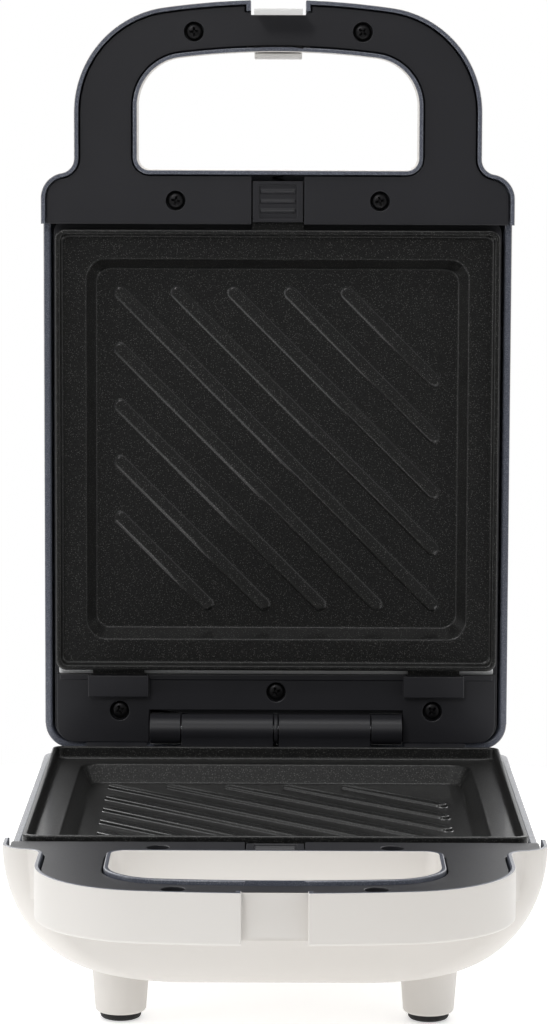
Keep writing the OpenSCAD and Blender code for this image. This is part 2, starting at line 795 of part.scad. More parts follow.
module upper_shell() {
    color(CREAM) lid_flip() difference() {
        union() {
            half_shell();
            // Ears of the latch pin, under the floor of the latch channel
            both_sides()
                block([ear_x, latch_pivot_y - 2.6, -channel_floor - 0.2],
                    [ear_x + 2.3, latch_pivot_y + 2.6, -latch_pivot_z + 2.6]);
            block([-channel_half - rim_wall, panel_y, -handle_depth],
                [channel_half + rim_wall, handle_front + bar_width, -channel_floor + 1.4]);
        }
        block([-channel_half, panel_y - 1, -handle_depth - 1],
            [channel_half, handle_front + bar_width + 1, -channel_floor]);
        block([-ear_x, latch_pivot_y - 3.2, -handle_depth],
            [ear_x, latch_pivot_y + 3.2, -channel_floor + 2]);
        // Bevel that the inner corner of the latch rocks past
        translate([0, panel_y, -channel_floor]) rotate([45, 0, 0])
            cube([2 * channel_half, 1.6, 1.6], center = true);
        rod_x(latch_pin_r + pin_gap, -ear_x - 3, ear_x + 3, latch_pivot_y, -latch_pivot_z);
        translate([0, lens_y, -half_depth - 1])
            cylinder(r = lens_r + seat_gap, h = shell_wall + 2, $fn = ARC_FN);
    }
}

module upper_frame() {
    pocket_floor = hinge_up + barrel_r + 0.5;
    color(CHARCOAL) lid() difference() {
        union() {
            difference() {
                mirror([0, 0, 1]) half_frame();
                // Pocket for the hinge, open to the rear
                block([-hinge_half - 0.4, hinge_back - barrel_r - 1, -1],
                    [hinge_half + 0.4, rear_reach, pocket_floor]);
            }
            lid_knuckle(-hinge_rib_half, hinge_rib_half, pocket_floor);
            both_sides() lid_knuckle(knuckle_half + pass_gap, hinge_half, pocket_floor);
        }
        rod_x(pin_r + pin_gap, -half_width, half_width, hinge_back, hinge_up);
    }
}

module lid_knuckle(x0, x1, top) {
    rod_x(barrel_r, x0, x1, hinge_back, hinge_up);
    block([x0, hinge_back - web_half, hinge_up], [x1, hinge_back + web_half, top + 0.5]);
}

module upper_plate() {
    color(NONSTICK) lid() rotate([0, 180, 0]) cooking_plate();
}

module upper_reflector() {
    color(BARE_METAL) lid_flip() reflector();
}

module upper_heater() {
    color([0.45, 0.45, 0.45]) lid_flip() heater();
}

module upper_heater_clamps() {
    color(BARE_METAL) lid_flip() heater_clamps();
}

module upper_thermostat() {
    color([0.75, 0.70, 0.60]) lid_flip() translate([0, plate_front / 5, 0]) thermostat();
}

module upper_release_clip() {
    color(CHARCOAL) lid_flip() release_clip();
}

module upper_clip_spring() {
    color(BARE_METAL) lid_flip() clip_spring();
}

module upper_frame_screws() {
    color([0.1, 0.1, 0.1]) lid_flip() frame_screws();
}

module upper_wiring() {
    end = -heater_end_z - 5 - wire_r - seat_gap;
    color([0.85, 0.85, 0.8]) lid_flip() {
        both_sides()
            wire([[30, 6, -32], [32, -6, -33], [heater_half, pan_leg_y + 2, end],
                [heater_half, pan_leg_y - 6, end]], wire_r, 8, [0, 0, 1]);
    }
}

module pilot_lens() {
    color([0.85, 0.25, 0.15]) lid_flip() translate([0, lens_y, -half_depth]) {
        cylinder(r = lens_r, h = shell_wall + 0.2, $fn = ARC_FN);
        translate([0, 0, shell_wall + seat_gap]) cylinder(r = lens_r + 1.5, h = 1, $fn = ARC_FN);
    }
}

module pilot_lamp() {
    color([0.9, 0.6, 0.4]) lid_flip()
        translate([0, lens_y, -half_depth + shell_wall + 1 + 2 * seat_gap])
            cylinder(r = 2.6, h = 6, $fn = ARC_FN);
}

module latch_pin() {
    color(BARE_METAL) lid_flip() rod_x(latch_pin_r, -ear_x - 2.2, ear_x + 2.2,
        latch_pivot_y, -latch_pivot_z);
}

latch_spring_r = 1.8;
latch_spring_wire = 0.22;

module latch_spring() {
    turns = 3;
    per_turn = 12;
    x0 = 3.5;
    x1 = ear_x - 0.3;
    color(BARE_METAL) lid_flip()
        wire([for (i = [0:turns * per_turn]) let (a = 360 * i / per_turn)
            [x0 + (x1 - x0) * i / turns / per_turn, latch_pivot_y + latch_spring_r * cos(a),
                -latch_pivot_z + latch_spring_r * sin(a)]], latch_spring_wire, 6, [1, 0, 0]);
}

// Rocker latch: an arm down the front, a bridge in the channel and a thumb tab in the grip
latch_bridge = 1.6;
latch_tab = 1.9;
hook_reach = 0.4;

module latch() {
    back = panel_y - 0.5;
    front = back - latch_arm;
    top = -handle_depth;
    tab = handle_front + bar_width + 0.4;
    side = [[front, top], [tab + latch_tab, top], [tab + latch_tab, -latch_pivot_z],
        [tab, -latch_pivot_z], [tab, top + latch_bridge], [back, top + latch_bridge],
        [back, hook_z + pass_gap], [panel_y + hook_reach, hook_z + pass_gap],
        [panel_y + hook_reach, hook_z + 0.5], [back - 0.5, hook_z + 1.7], [front, hook_z + 1.7]];
    color(CREAM) lid_flip() difference() {
        union() {
            translate([-latch_width / 2, 0, 0])
                rotate([90, 0, 90]) linear_extrude(latch_width) polygon(side);
            rod_x(2.4, -3, 3, latch_pivot_y, -latch_pivot_z);
            block([-3, latch_pivot_y - 2.4, top + 0.5], [3, latch_pivot_y + 2.4, -latch_pivot_z]);
        }
        rod_x(latch_pin_r + pin_gap, -4, 4, latch_pivot_y, -latch_pivot_z);
    }
}

lower_shell();
lower_frame();
lower_plate();
lower_reflector();
lower_heater();
lower_heater_clamps();
lower_thermostat();
thermal_fuse();
lower_release_clip();
lower_clip_spring();
lower_frame_screws();
terminal_block();
lower_wiring();
cord_gland();
foot_pads();
hinge_pin();
upper_shell();
upper_frame();
upper_plate();
upper_reflector();
upper_heater();
upper_heater_clamps();
upper_thermostat();
upper_release_clip();
upper_clip_spring();
upper_frame_screws();
upper_wiring();
pilot_lens();
pilot_lamp();
latch_pin();
latch_spring();
latch();
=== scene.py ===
# %% [markdown]
# # A sandwich toaster that stands open
# The packed model is the fixed frame: every piece below is made around it, in metres, and rides on one
# of its bodies. Nothing in it is moved. Its shape was drawn with both halves shut, one half under the
# parting plane and the other the same form flipped above it, so this script works the same way.

# %% Load the frame
import math
from contextlib import contextmanager

import bmesh
import bpy
from mathutils import Matrix, Vector


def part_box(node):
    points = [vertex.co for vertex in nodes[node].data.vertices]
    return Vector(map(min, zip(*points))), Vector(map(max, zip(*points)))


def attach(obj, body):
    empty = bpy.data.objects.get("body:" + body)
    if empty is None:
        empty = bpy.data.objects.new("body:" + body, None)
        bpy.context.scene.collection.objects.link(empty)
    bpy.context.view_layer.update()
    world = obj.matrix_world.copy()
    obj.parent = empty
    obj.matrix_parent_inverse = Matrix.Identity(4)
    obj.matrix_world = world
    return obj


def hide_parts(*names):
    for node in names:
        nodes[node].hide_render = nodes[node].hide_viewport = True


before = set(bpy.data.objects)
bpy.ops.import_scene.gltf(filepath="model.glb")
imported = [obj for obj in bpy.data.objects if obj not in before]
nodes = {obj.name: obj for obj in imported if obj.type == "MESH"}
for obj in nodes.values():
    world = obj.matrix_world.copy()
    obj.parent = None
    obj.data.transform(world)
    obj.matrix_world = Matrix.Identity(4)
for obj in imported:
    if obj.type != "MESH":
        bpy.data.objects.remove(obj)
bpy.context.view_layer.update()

# %% [markdown]
# ## Where the two halves lie
# A drawing in millimetres with the halves shut is easy to read: X to the right, Y to the back, Z up,
# the parting plane at Z 0 and the back edge of the cooking plates at Y 0. A matrix carries each half's
# drawing to its place, which the hinge pin gives, because both halves share it. The lid's mouldings
# mirror the base's, while its plate is the same casting turned over. The tables add the word that
# the nodes of a half start with.

# %% Matrices from the drawing to the frame
MM = 0.001
hinge_y, hinge_z = 19.2, 1.9
pin_low, pin_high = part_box("hinge_pin")
origin = (pin_low + pin_high) / 2 - Vector((0, hinge_y, hinge_z)) * MM
hinge_shift = Matrix.Translation((0, hinge_y, hinge_z))
base_place = Matrix.Translation(origin) @ Matrix.Scale(MM, 4)
lid_turn = hinge_shift @ Matrix.Rotation(math.radians(-90), 4, "X") @ hinge_shift.inverted()
lid_place = base_place @ lid_turn @ Matrix.Scale(-1, 4, (0, 0, 1))
plate_flip = base_place @ lid_turn @ Matrix.Rotation(math.pi, 4, "Y")
HALVES = (("base", base_place, "lower"), ("lid", lid_place, "upper"))
PLATE_HALVES = (("base", base_place, "lower"), ("lid", plate_flip, "upper"))
print("drawing origin in mm:", [round(c / MM, 2) for c in origin])

# %% [markdown]
# ## Camera
# The camera stands about 1.2 m before the toaster, a little above its middle, and looks down at it
# by six and a half degrees through a long lens, so that the halves show almost without perspective.

# %% Camera
def new_object(name, data):
    made = bpy.data.objects.new(name, data)
    bpy.context.scene.collection.objects.link(made)
    return made


image_height, focal_px = 1024, 3611.36
camera_at = origin + Vector((0.72, -1119.56, 201.2)) * MM
camera_down, camera_turn, camera_roll = (math.radians(a) for a in (6.483, 0.079, 0.204))
camera = new_object("camera", bpy.data.cameras.new("camera"))
camera.data.sensor_width = 36
camera.data.lens = focal_px / image_height * camera.data.sensor_width
camera.data.clip_start = 0.05
aim = Matrix.Rotation(camera_turn, 4, "Z") @ Matrix.Rotation(math.pi / 2 - camera_down, 4, "X")
camera.matrix_world = Matrix.Translation(camera_at) @ aim @ Matrix.Rotation(camera_roll, 4, "Z")
bpy.context.scene.camera = camera
print("camera:", [round(c, 3) for c in camera_at], "lens", round(camera.data.lens, 1), "mm")

# %% [markdown]
# ## Node trees as Python expressions
# A finish is easier to read as a sum than as a drawing of nodes. `Socket` wraps one output, and its
# operators add Math nodes, also when a plain number stands first. `Tree.node` adds any other node:
# its settings go in first, and then the values or links of its sockets.

# %% Sockets and trees
def operator(operation, swapped=False):
    """A Python operator that adds a Math node; swapped puts the other value first."""
    def add_node(self, other=0.0):
        first, second = (other, self) if swapped else (self, other)
        return self.tree.node("ShaderNodeMath", {"operation": operation}, {0: first, 1: second})
    return add_node


class Socket:
    """One output in a node tree."""

    def __init__(self, tree, port):
        self.tree, self.port = tree, port

    __add__ = __radd__ = operator("ADD")
    __sub__, __rsub__ = operator("SUBTRACT"), operator("SUBTRACT", swapped=True)
    __mul__ = __rmul__ = operator("MULTIPLY")
    __truediv__ = operator("DIVIDE")
    __abs__ = operator("ABSOLUTE")

    def step(self, low, high):
        """0 under low, 1 over high, and a smooth way between them."""
        return self.tree.node(
            "ShaderNodeMapRange", {"interpolation_type": "SMOOTHSTEP"},
            {"Value": self, "From Min": low, "From Max": high},
        )

    def dot(self, direction):
        """How far a vector reaches along a direction."""
        return self.tree.node(
            "ShaderNodeVectorMath", {"operation": "DOT_PRODUCT"}, {0: self, 1: direction}, "Value"
        )


class Tree:
    """A node tree that is built in Python."""

    def __init__(self, tree):
        self.tree = tree

    def node(self, kind, settings=None, sockets=None, out=0):
        made = self.tree.nodes.new(kind)
        for name, value in (settings or {}).items():
            setattr(made, name, value)
        for key, value in (sockets or {}).items():
            port = self.find(made.inputs, key)
            if isinstance(value, Socket):
                self.tree.links.new(value.port, port)
            else:
                port.default_value = value
        return Socket(self, self.find(made.outputs, out)) if made.outputs else None

    def vector(self, **axes):
        return self.node("ShaderNodeCombineXYZ", {}, axes)

    @staticmethod
    def find(ports, key):
        """A socket by its number or its identifier."""
        return ports[key] if isinstance(key, int) else next(p for p in ports if p.identifier == key)


print("a socket knows", [name for name in vars(Socket) if not name.startswith("__")])

# %% [markdown]
# ## Finishes
# Every finish starts from the object's own coordinates, which are metres in the frame, so a grain of a
# third of a millimetre is a noise of scale 3000. One helper holds what all of them share: a noise, a
# mix of two tones, a bump, and the surface at the end.

# %% Helpers for finishes
def tone(red, green, blue):
    """A colour as the eye names it, 0 to 255, turned into light."""
    def light(c):
        c /= 255
        return c / 12.92 if c <= 0.04045 else ((c + 0.055) / 1.055) ** 2.4
    return (light(red), light(green), light(blue), 1)


class Finish(Tree):
    """A material with its object coordinates at hand."""

    def __init__(self, name):
        self.material = bpy.data.materials.new(name)
        self.material.use_nodes = True
        self.material.node_tree.nodes.clear()
        super().__init__(self.material.node_tree)
        self.place = self.node("ShaderNodeTexCoord", out="Object")

    def noise(self, scale, detail, roughness=0.5, stretch=None):
        """A noise; stretch holds a factor of its scale along each axis."""
        at = self.place
        if stretch:
            at = self.node("ShaderNodeMapping", {}, {"Vector": at, "Scale": stretch})
        return self.node(
            "ShaderNodeTexNoise", {},
            {"Vector": at, "Scale": scale, "Detail": detail, "Roughness": roughness},
        )

    def flecks(self, scale):
        """Distance to the nearest of many scattered points."""
        return self.node(
            "ShaderNodeTexVoronoi", {}, {"Vector": self.place, "Scale": scale}, "Distance"
        )

    def mix(self, share, first, second):
        return self.node(
            "ShaderNodeMix", {"data_type": "RGBA"},
            {"Factor_Float": share, "A_Color": first, "B_Color": second}, "Result_Color",
        )

    def bump(self, height, microns, strength):
        """A bump whose full height is given in microns."""
        return self.node(
            "ShaderNodeBump", {}, {"Height": height, "Distance": microns * 1e-6, "Strength": strength}
        )

    def surface(self, color, roughness, normal=None, **fixed):
        """The surface; fixed values are set on its own sockets, and written with _ for a space."""
        sockets = {"Base Color": color, "Roughness": roughness}
        if normal:
            sockets["Normal"] = normal
        sockets.update({key.replace("_", " "): value for key, value in fixed.items()})
        shader = self.node("ShaderNodeBsdfPrincipled", {}, sockets)
        self.node("ShaderNodeOutputMaterial", {}, {"Surface": shader})
        return self.material


print("a mid grey is", [round(c, 3) for c in tone(128, 128, 128)])

# %% [markdown]
# ### Moulded plastics
# Most finishes follow one pattern: a texture drives the roughness and the relief, and it or a broader
# noise mixes two tones. The shells are moulded in a warm off-white, and the frames, hinge barrels and
# release clips in a satin, heat-proof charcoal. The latch is of the shells' plastic, but it gets a
# purer and lighter white, which paints on the light that its shaded tab lacks. The mould leaves a
# grain so fine that it only spreads the highlight.

# %% Moulded plastics
finishes = {}


def grained(slot, texture, first, second, rough, relief, edges=None, drift=None, **fixed):
    """Makes a slot's finish; its texture is a noise's arguments or a function.

    rough is the least roughness and what the texture adds, and relief is in microns and a strength.
    edges are the levels between which the tones mix, and drift is the noise that mixes them instead.
    """
    f = Finish(slot)
    grain = texture(f) if callable(texture) else f.noise(*texture)
    share = f.noise(*drift) if drift else grain
    color = f.mix(share.step(*edges) if edges else share, tone(*first), tone(*second))
    bump = f.bump(grain, *relief)
    finishes[slot] = f.surface(color, rough[0] + rough[1] * grain, bump, **fixed)


for slot, cooler, warmer in (
    ("cream_plastic", (215, 212, 208), (211, 207, 202)),
    # the latch's lighter copy of the cream is painted light for its shaded tab
    ("latch_plastic", (240, 240, 239), (237, 236, 234)),
):
    grained(
        slot, (2600, 2, 0.6), cooler, warmer, (0.36, 0.12), (10, 0.35), (0.3, 0.7), (9, 2),
        Specular_IOR_Level=0.42,
    )
grained(
    "charcoal_plastic", (3200, 2, 0.6), (31, 31, 35), (35, 35, 39), (0.34, 0.14), (20, 0.4),
    (0.3, 0.7), (26, 2), Specular_IOR_Level=0.45,
)
print("plastics:", sorted(finishes))

# %% [markdown]
# ### Blue-grey rim
# Where the halves meet, the shells end in a rim of dark blue-grey with a sparkling grain. Small light
# flecks over a navy ground give the sparkle, and the same flecks raise the surface, so that it breaks
# up the light along the rim's rounded edges.

# %% Blue-grey rim
def blue_grey_rim():
    f = Finish("blue_grey_rim")
    grain = f.noise(4200, 3, 0.6)
    sparks = grain.step(0.46, 0.7)
    color = f.mix(sparks, tone(74, 78, 90), tone(132, 136, 148))
    return f.surface(
        color, 0.4 - 0.1 * sparks, f.bump(grain, 40, 0.5), Specular_IOR_Level=0.5,
        Coat_Weight=0.8, Coat_Roughness=0.2,
    )


finishes["blue_grey_rim"] = blue_grey_rim()
print("the rim has", len(finishes["blue_grey_rim"].node_tree.nodes), "nodes")

# %% [markdown]
# ### Non-stick coating
# The cast plates are sprayed black, and the spray dries to a skin of fine orange peel full of tiny
# bright grains. The peel is a noise two thirds of a millimetre wide, and the grains are the middles
# of small cells over a finer dust. A clear coat gives the rounded edges their thin shine, and the
# searing ribs, which food and wiping polish first, get more of it than the plates.

# %% Non-stick coating
def nonstick_coating(name, polish, haze):
    f = Finish(name)
    peel = f.noise(1500, 3, 0.6)
    dust = f.noise(4200, 2, 0.6).step(0.42, 0.7)
    grains = 1 - f.flecks(1900).step(0.12, 0.26)
    ground = f.mix(dust, tone(6, 6, 6), tone(40, 40, 39))
    color = f.mix(grains * 0.85, ground, tone(108, 108, 105))
    height = peel + 0.5 * grains
    return f.surface(
        color, 0.34 - 0.06 * grains + 0.1 * peel, f.bump(height, 60, 0.5),
        Specular_IOR_Level=0.26, Coat_Weight=polish, Coat_Roughness=haze,
    )


for slot, polish, haze in (("nonstick_coating", 0.3, 0.14), ("nonstick_ribs", 1.0, 0.08)):
    finishes[slot] = nonstick_coating(slot, polish, haze)
    print(slot, "has", len(finishes[slot].node_tree.nodes), "nodes")

# %% [markdown]
# ### Metals
# The reflector pans are pale rolled sheet with a half-dull zinc skin, the pins and the latch's spring
# are plated steel, and the heating tube has a dull oxide skin. A noise that is stretched along one axis
# draws the rolling marks.

# %% Metals
grained(
    "bright_sheet", (900, 2, 0.6, (1, 0.04, 1)), (226, 227, 229), (246, 246, 245), (0.3, 0.2),
    (10, 0.4), Metallic=0.25,
)
grained(
    "plated_steel", (1500, 2, 0.6, (0.05, 1, 1)), (150, 151, 155), (196, 196, 200), (0.22, 0.2),
    (10, 0.4), Metallic=1.0,
)
grained(
    "black_screw", (700, 3, 0.6), (30, 30, 32), (58, 57, 58), (0.3, 0.2), (10, 0.5), Metallic=0.85
)
grained(
    "heater_sheath", (120, 4, 0.65), (84, 82, 74), (128, 118, 104), (0.5, 0.2), (30, 0.4), (0.3, 0.7),
    Metallic=0.6,
)
print("finishes so far:", len(finishes))

# %% [markdown]
# ### Rubber, ceramic, sleeve and lens
# The small parts need a finish too, because a look from below or inside shows them. Pits in the
# ceramic's glaze are the middles of small cells, and a wave draws the braid of the wires' sleeve.

# %% Rubber, ceramic, sleeve and lens
def pitted(f):
    return f.flecks(700)


def braided(f):
    place = {"Vector": f.place, "Scale": 260.0}
    return f.node("ShaderNodeTexWave", {"bands_direction": "DIAGONAL"}, place, "Fac")


grained(
    "black_rubber", (420, 3, 0.6), (20, 20, 21), (36, 35, 35), (0.5, 0.25), (40, 0.4), (0.35, 0.75),
    Specular_IOR_Level=0.3,
)
grained(
    "ceramic_white", pitted, (206, 200, 188), (232, 228, 219), (0.3, 0.15), (30, 0.4), (0.1, 0.5)
)
grained("wire_sleeve", braided, (176, 168, 150), (222, 216, 202), (0.75, 0.1), (100, 0.6))
grained(
    "thermostat_body", (260, 4, 0.6), (120, 92, 66), (164, 134, 102), (0.4, 0.2), (30, 0.4), (0.3, 0.7)
)
grained(
    "lens_red", (300, 2), (176, 26, 18), (206, 44, 30), (0.12, 0.1), (10, 0.3),
    Transmission_Weight=0.35, IOR=1.49,
)
grained(
    "lamp_glass", (500, 2), (236, 214, 196), (246, 232, 222), (0.06, 0.1), (10, 0.3),
    Transmission_Weight=0.6,
)
print("finishes:", len(finishes))

# %% [markdown]
# ## Solids for the moulded halves
# A moulded half is a sum of simple solids with others taken away. Blender's Boolean modifier does
# that, and its manifold solver keeps each face's material, so what a tool cuts can be given the
# tool's own finish: the inside of a shell turns navy while its outside stays cream.

# %% Solids and cuts
half_finishes = [finishes["cream_plastic"], finishes["blue_grey_rim"]]
CREAM, NAVY, MARK = 0, 1, 2
NEAR = 0.01


@contextmanager
def reshaping(mesh):
    """A BMesh of the mesh, which is written back at the end."""
    work = bmesh.new()
    work.from_mesh(mesh)
    yield work
    work.to_mesh(mesh)
    work.free()


def tidy(mesh, merge=1e-4):
    """Merges doubles and turns every face outwards."""
    with reshaping(mesh) as work:
        bmesh.ops.remove_doubles(work, verts=work.verts, dist=merge)
        bmesh.ops.recalc_face_normals(work, faces=work.faces)


def solid(points, faces, finish=CREAM):
    mesh = bpy.data.meshes.new("solid")
    mesh.from_pydata(points, [], faces)
    tidy(mesh)
    for material in half_finishes:
        mesh.materials.append(material)
    mesh.polygons.foreach_set("material_index", [finish] * len(mesh.polygons))
    return new_object("solid", mesh)


def ring_faces(n, count):
    """The faces of a stack of count rings of n points: its sides, and its two ends."""
    sides = [
        (k * n + i, k * n + (i + 1) % n, (k + 1) * n + (i + 1) % n, (k + 1) * n + i)
        for k in range(count - 1)
        for i in range(n)
    ]
    return [*sides, tuple(range(n)), tuple(range((count - 1) * n, count * n))]


def lofted(rings, finish=CREAM):
    """A closed solid through rings of the same number of points."""
    faces = ring_faces(len(rings[0]), len(rings))
    return solid([p for ring in rings for p in ring], faces, finish)


def prism(plan, low, high, finish=CREAM):
    return lofted([[(x, y, z) for x, y in plan] for z in (low, high)], finish)


def block(low, high, finish=CREAM):
    (x0, y0, z0), (x1, y1, z1) = low, high
    return prism([(x0, y0), (x1, y0), (x1, y1), (x0, y1)], z0, z1, finish)


def block_pair(low, high, finish=CREAM):
    """A block on the right and its mirror image on the left, which comes first."""
    (x0, y0, z0), (x1, y1, z1) = low, high
    return block((-x1, y0, z0), (-x0, y1, z1), finish), block(low, high, finish)


def bar(half, ys, zs, finish=CREAM):
    """A block that reaches equally far to the left and to the right."""
    return block((-half, ys[0], zs[0]), (half, ys[1], zs[1]), finish)


def settle(piece):
    """Turns what the modifiers show into the piece's own mesh."""
    shown = bpy.context.evaluated_depsgraph_get()
    mesh = bpy.data.meshes.new_from_object(piece.evaluated_get(shown))
    piece.modifiers.clear()
    old, piece.data = piece.data, mesh
    bpy.data.meshes.remove(old)
    return piece


def carve(piece, *tools, operation="DIFFERENCE"):
    for tool in tools:
        cut = piece.modifiers.new("carve", "BOOLEAN")
        cut.operation, cut.object, cut.solver = operation, tool, "MANIFOLD"
        settle(piece)
        bpy.data.objects.remove(tool)
    return piece


def add(piece, *tools):
    return carve(piece, *tools, operation="UNION")


print("solids are ready, with", len(half_finishes), "finishes")

# %% [markdown]
# ## Plan of the halves
# Seen from above, a half is a square body with rounded corners and a handle loop before it. The loop
# runs from the shoulder through a small hollow, along the side, round a wide corner and over a bowed
# front. Arcs that touch make such an outline, and a distance draws it in for a wall.

# %% Plan of the halves
HALF_WIDTH, REAR, SHOULDER, FRONT = 74.5, 26.5, -157.8, -211.8
HANDLE_HALF, GRIP_HALF, BAR = 64.0, 44.1, 16.2
GRIP_BACK = SHOULDER - 0.9
CORNER_R, NOOK_R, LOOP_R, LOOP_SWEEP = 8.0, 4.6, 33.0, 255.8
GRIP_R, GRIP_SWEEP, GRIP_BACK_R = 15.2, 247.3, 3.8
STEP = -141.7


def arc(x, y, r, start, end, steps):
    turns = (math.radians(start + (end - start) * i / steps) for i in range(steps + 1))
    return [(x + r * math.cos(a), y + r * math.sin(a)) for a in turns]


def mirrored(half, front):
    return [*half, (0, front), *((-x, y) for x, y in reversed(half))]


def bowed_front(half, front, r, sweep, drawn_in):
    lean = math.degrees(math.asin((half - r) / (sweep - r)))
    middle = front + sweep - (sweep - r) * math.cos(math.radians(lean))
    return arc(half - r, middle, r - drawn_in, 0, lean - 90, 28) + arc(
        0, front + sweep, sweep - drawn_in, lean - 90, lean / 12 - 90, 11
    )


nook_lean = math.degrees(math.asin(1 - (HALF_WIDTH - HANDLE_HALF) / (CORNER_R + NOOK_R)))
nook_y = SHOULDER + CORNER_R - (CORNER_R + NOOK_R) * math.cos(math.radians(nook_lean))


def loop_side(drawn_in):
    return arc(
        HANDLE_HALF + NOOK_R, nook_y, NOOK_R + drawn_in, nook_lean + 90, 180, 12
    ) + bowed_front(HANDLE_HALF, FRONT, LOOP_R, LOOP_SWEEP, drawn_in)


def body_plan(drawn_in, back):
    """The whole outline before a line across the body."""
    shoulder = arc(
        HALF_WIDTH - CORNER_R, SHOULDER + CORNER_R, CORNER_R - drawn_in, 0, nook_lean - 90, 16
    )
    side = [(HALF_WIDTH - drawn_in, back), *shoulder, *loop_side(drawn_in)]
    return mirrored(side, FRONT + drawn_in)


def loop_plan(drawn_in, back):
    start = (HANDLE_HALF + NOOK_R * (1 - math.sin(math.radians(nook_lean))), back)
    return mirrored([start, *loop_side(drawn_in)], FRONT + drawn_in)


def grip_plan(let_out):
    rear = arc(GRIP_HALF - GRIP_BACK_R, GRIP_BACK - GRIP_BACK_R, GRIP_BACK_R + let_out, 90, 0, 12)
    side = bowed_front(GRIP_HALF, FRONT + BAR, GRIP_R, GRIP_SWEEP, -let_out)
    return mirrored(rear + side, FRONT + BAR - let_out)


print("outline of", len(body_plan(0, STEP)), "points, opening of", len(grip_plan(0)))

# %% [markdown]
# ## Shells
# A shell is a bowl: upright at its rim, drawn in along a circle to a flat bottom. It is lofted from
# some thirty rings whose corners widen on the way down, and the handle's loop joins it as a low prism.
# A second bowl, thinner by the wall, hollows it out. Bosses for the screws stay standing inside.

# %% A bowl from rings
DEPTH, WALL, RIM_WALL = 40.5, 2.2, 1.4
SIDE_DRAW, FRONT_DRAW, REAR_DRAW, CORNER_GROWTH = 34.0, 15.0, 12.0, 12.0
HANDLE_DEPTH = 14.2
BOWL_RINGS, CORNER_STEPS, FINE_STEPS = 30, 16, 64


def rounded_ring(half, front, back, r, z, steps=CORNER_STEPS):
    corners = ((half - r, back - r, 90), (half - r, front + r, 0), (r - half, front + r, -90))
    plan = [p for x, y, turn in corners for p in arc(x, y, r, turn, turn - 90, steps)]
    return [(x, y, z) for x, y in plan + arc(r - half, back - r, r, 180, 90, steps)]


def bowl(depth, wall, lift=0.0, finish=CREAM):
    def ring(share, z):
        drawn = 1 - math.sqrt(max(0.0, 1 - share * share))
        return rounded_ring(
            HALF_WIDTH - wall - SIDE_DRAW * drawn,
            SHOULDER + wall + FRONT_DRAW * drawn,
            REAR - wall - REAR_DRAW * drawn,
            CORNER_R - wall + CORNER_GROWTH * drawn,
            z,
        )
    shares = [math.sin(math.pi / 2 * i / BOWL_RINGS) for i in range(BOWL_RINGS + 1)]
    top = [ring(0, lift)] if lift else []
    return lofted(top + [ring(s, -depth * s) for s in shares], finish)


def disc(r, x, y, z, steps=48):
    return [
        (x + r * math.cos(a), y - r * math.sin(a), z)
        for a in (2 * math.pi * i / steps for i in range(steps))
    ]


def post(r, x, y, low, high, finish=CREAM):
    return lofted([disc(r, x, y, z) for z in (low, high)], finish)


def rod(r, x0, x1, y, z):
    """A rod along X."""
    return lofted([[(x, y + b, z + a) for a, b, _ in disc(r, 0, 0, 0)] for x in (x0, x1)])


def plug(r, y0, y1, x, z):
    """A rod along Y."""
    return lofted([[(x + a, y, z + b) for a, b, _ in disc(r, 0, 0, 0)] for y in (y0, y1)])


print("bowl rings:", BOWL_RINGS, "of", 4 * (CORNER_STEPS + 1), "points")

# %% [markdown]
# Each of the seven screw places is an X, a Y and the level of the face that the screw sinks into.

# %% Places of the screws
FACE, REAR_FACE = -1.4, -4.2
SCREWS = [
    (26.4, -201.8, FACE), (-26.4, -201.8, FACE), (32.1, -149.1, FACE), (-32.1, -149.1, FACE),
    (0, 7.6, REAR_FACE), (-50, 13.7, REAR_FACE), (50, 13.7, REAR_FACE),
]
BOSS_R, BOSS_DROP, THREAD_R, THREAD_DEPTH = 3.8, 5.1, 1.5, 11
LOOP_WALL, FRAME_DROP, WEB_DROP = 1.6, -4.1, -3.7
CHANNEL_HALF, PANEL_Y, CHANNEL_FLOOR = 8.6, -207.0, -11.1
CHANNEL_WALL = CHANNEL_HALF + RIM_WALL
PIVOT_Y, PIVOT_Z, EAR_X = -202.0, -9.0, 4.9
RIM_DROP, BAND_DROP = -6.6, -0.3
SINK, SINK_START, SINK_WIDTH = 2.4, HANDLE_HALF + 0.2, 3.2
ROOM = 2.0


def hollow_of_half():
    """All that a shell's inside takes away, with the bosses and the latch channel's walls left."""
    inside = add(
        bowl(DEPTH - WALL, WALL, 1, NAVY),
        prism(loop_plan(RIM_WALL, SHOULDER + WALL + 2), LOOP_WALL - HANDLE_DEPTH, 1, NAVY),
        prism(body_plan(RIM_WALL, STEP), FRAME_DROP, 1, NAVY),
    )
    wall_low, wall_high = (CHANNEL_HALF - 1, FRONT, -HANDLE_DEPTH), (CHANNEL_WALL, PANEL_Y - 1.2, 0)
    return carve(
        inside,
        prism(grip_plan(RIM_WALL), -HANDLE_DEPTH, ROOM, NAVY),
        *(post(BOSS_R, x, y, -DEPTH, level - BOSS_DROP, NAVY) for x, y, level in SCREWS),
        *block_pair(wall_low, wall_high, NAVY),
        bar(CHANNEL_WALL, (FRONT, PANEL_Y + RIM_WALL), (-HANDLE_DEPTH, WEB_DROP), NAVY),
        bar(CHANNEL_WALL, (FRONT, PANEL_Y + 5), (-HANDLE_DEPTH, -11), NAVY),
    )


def loop_solid():
    """The loop, whose hollow beside the shoulder sinks back into the bowl on its way down."""
    root = SHOULDER + WALL
    plan = loop_plan(0, root)
    levels = [(0, 0.0), (-5, 0.12), (-10, 0.55), (-HANDLE_DEPTH, 1.0)]

    def sunk(x, y, share):
        hollow = min(1.0, max(0.0, (abs(x) - SINK_START) / SINK_WIDTH))
        return y + SINK * hollow * share if y < root - NEAR else y

    return lofted([[(x, sunk(x, y, share), z) for x, y in plan] for z, share in levels])


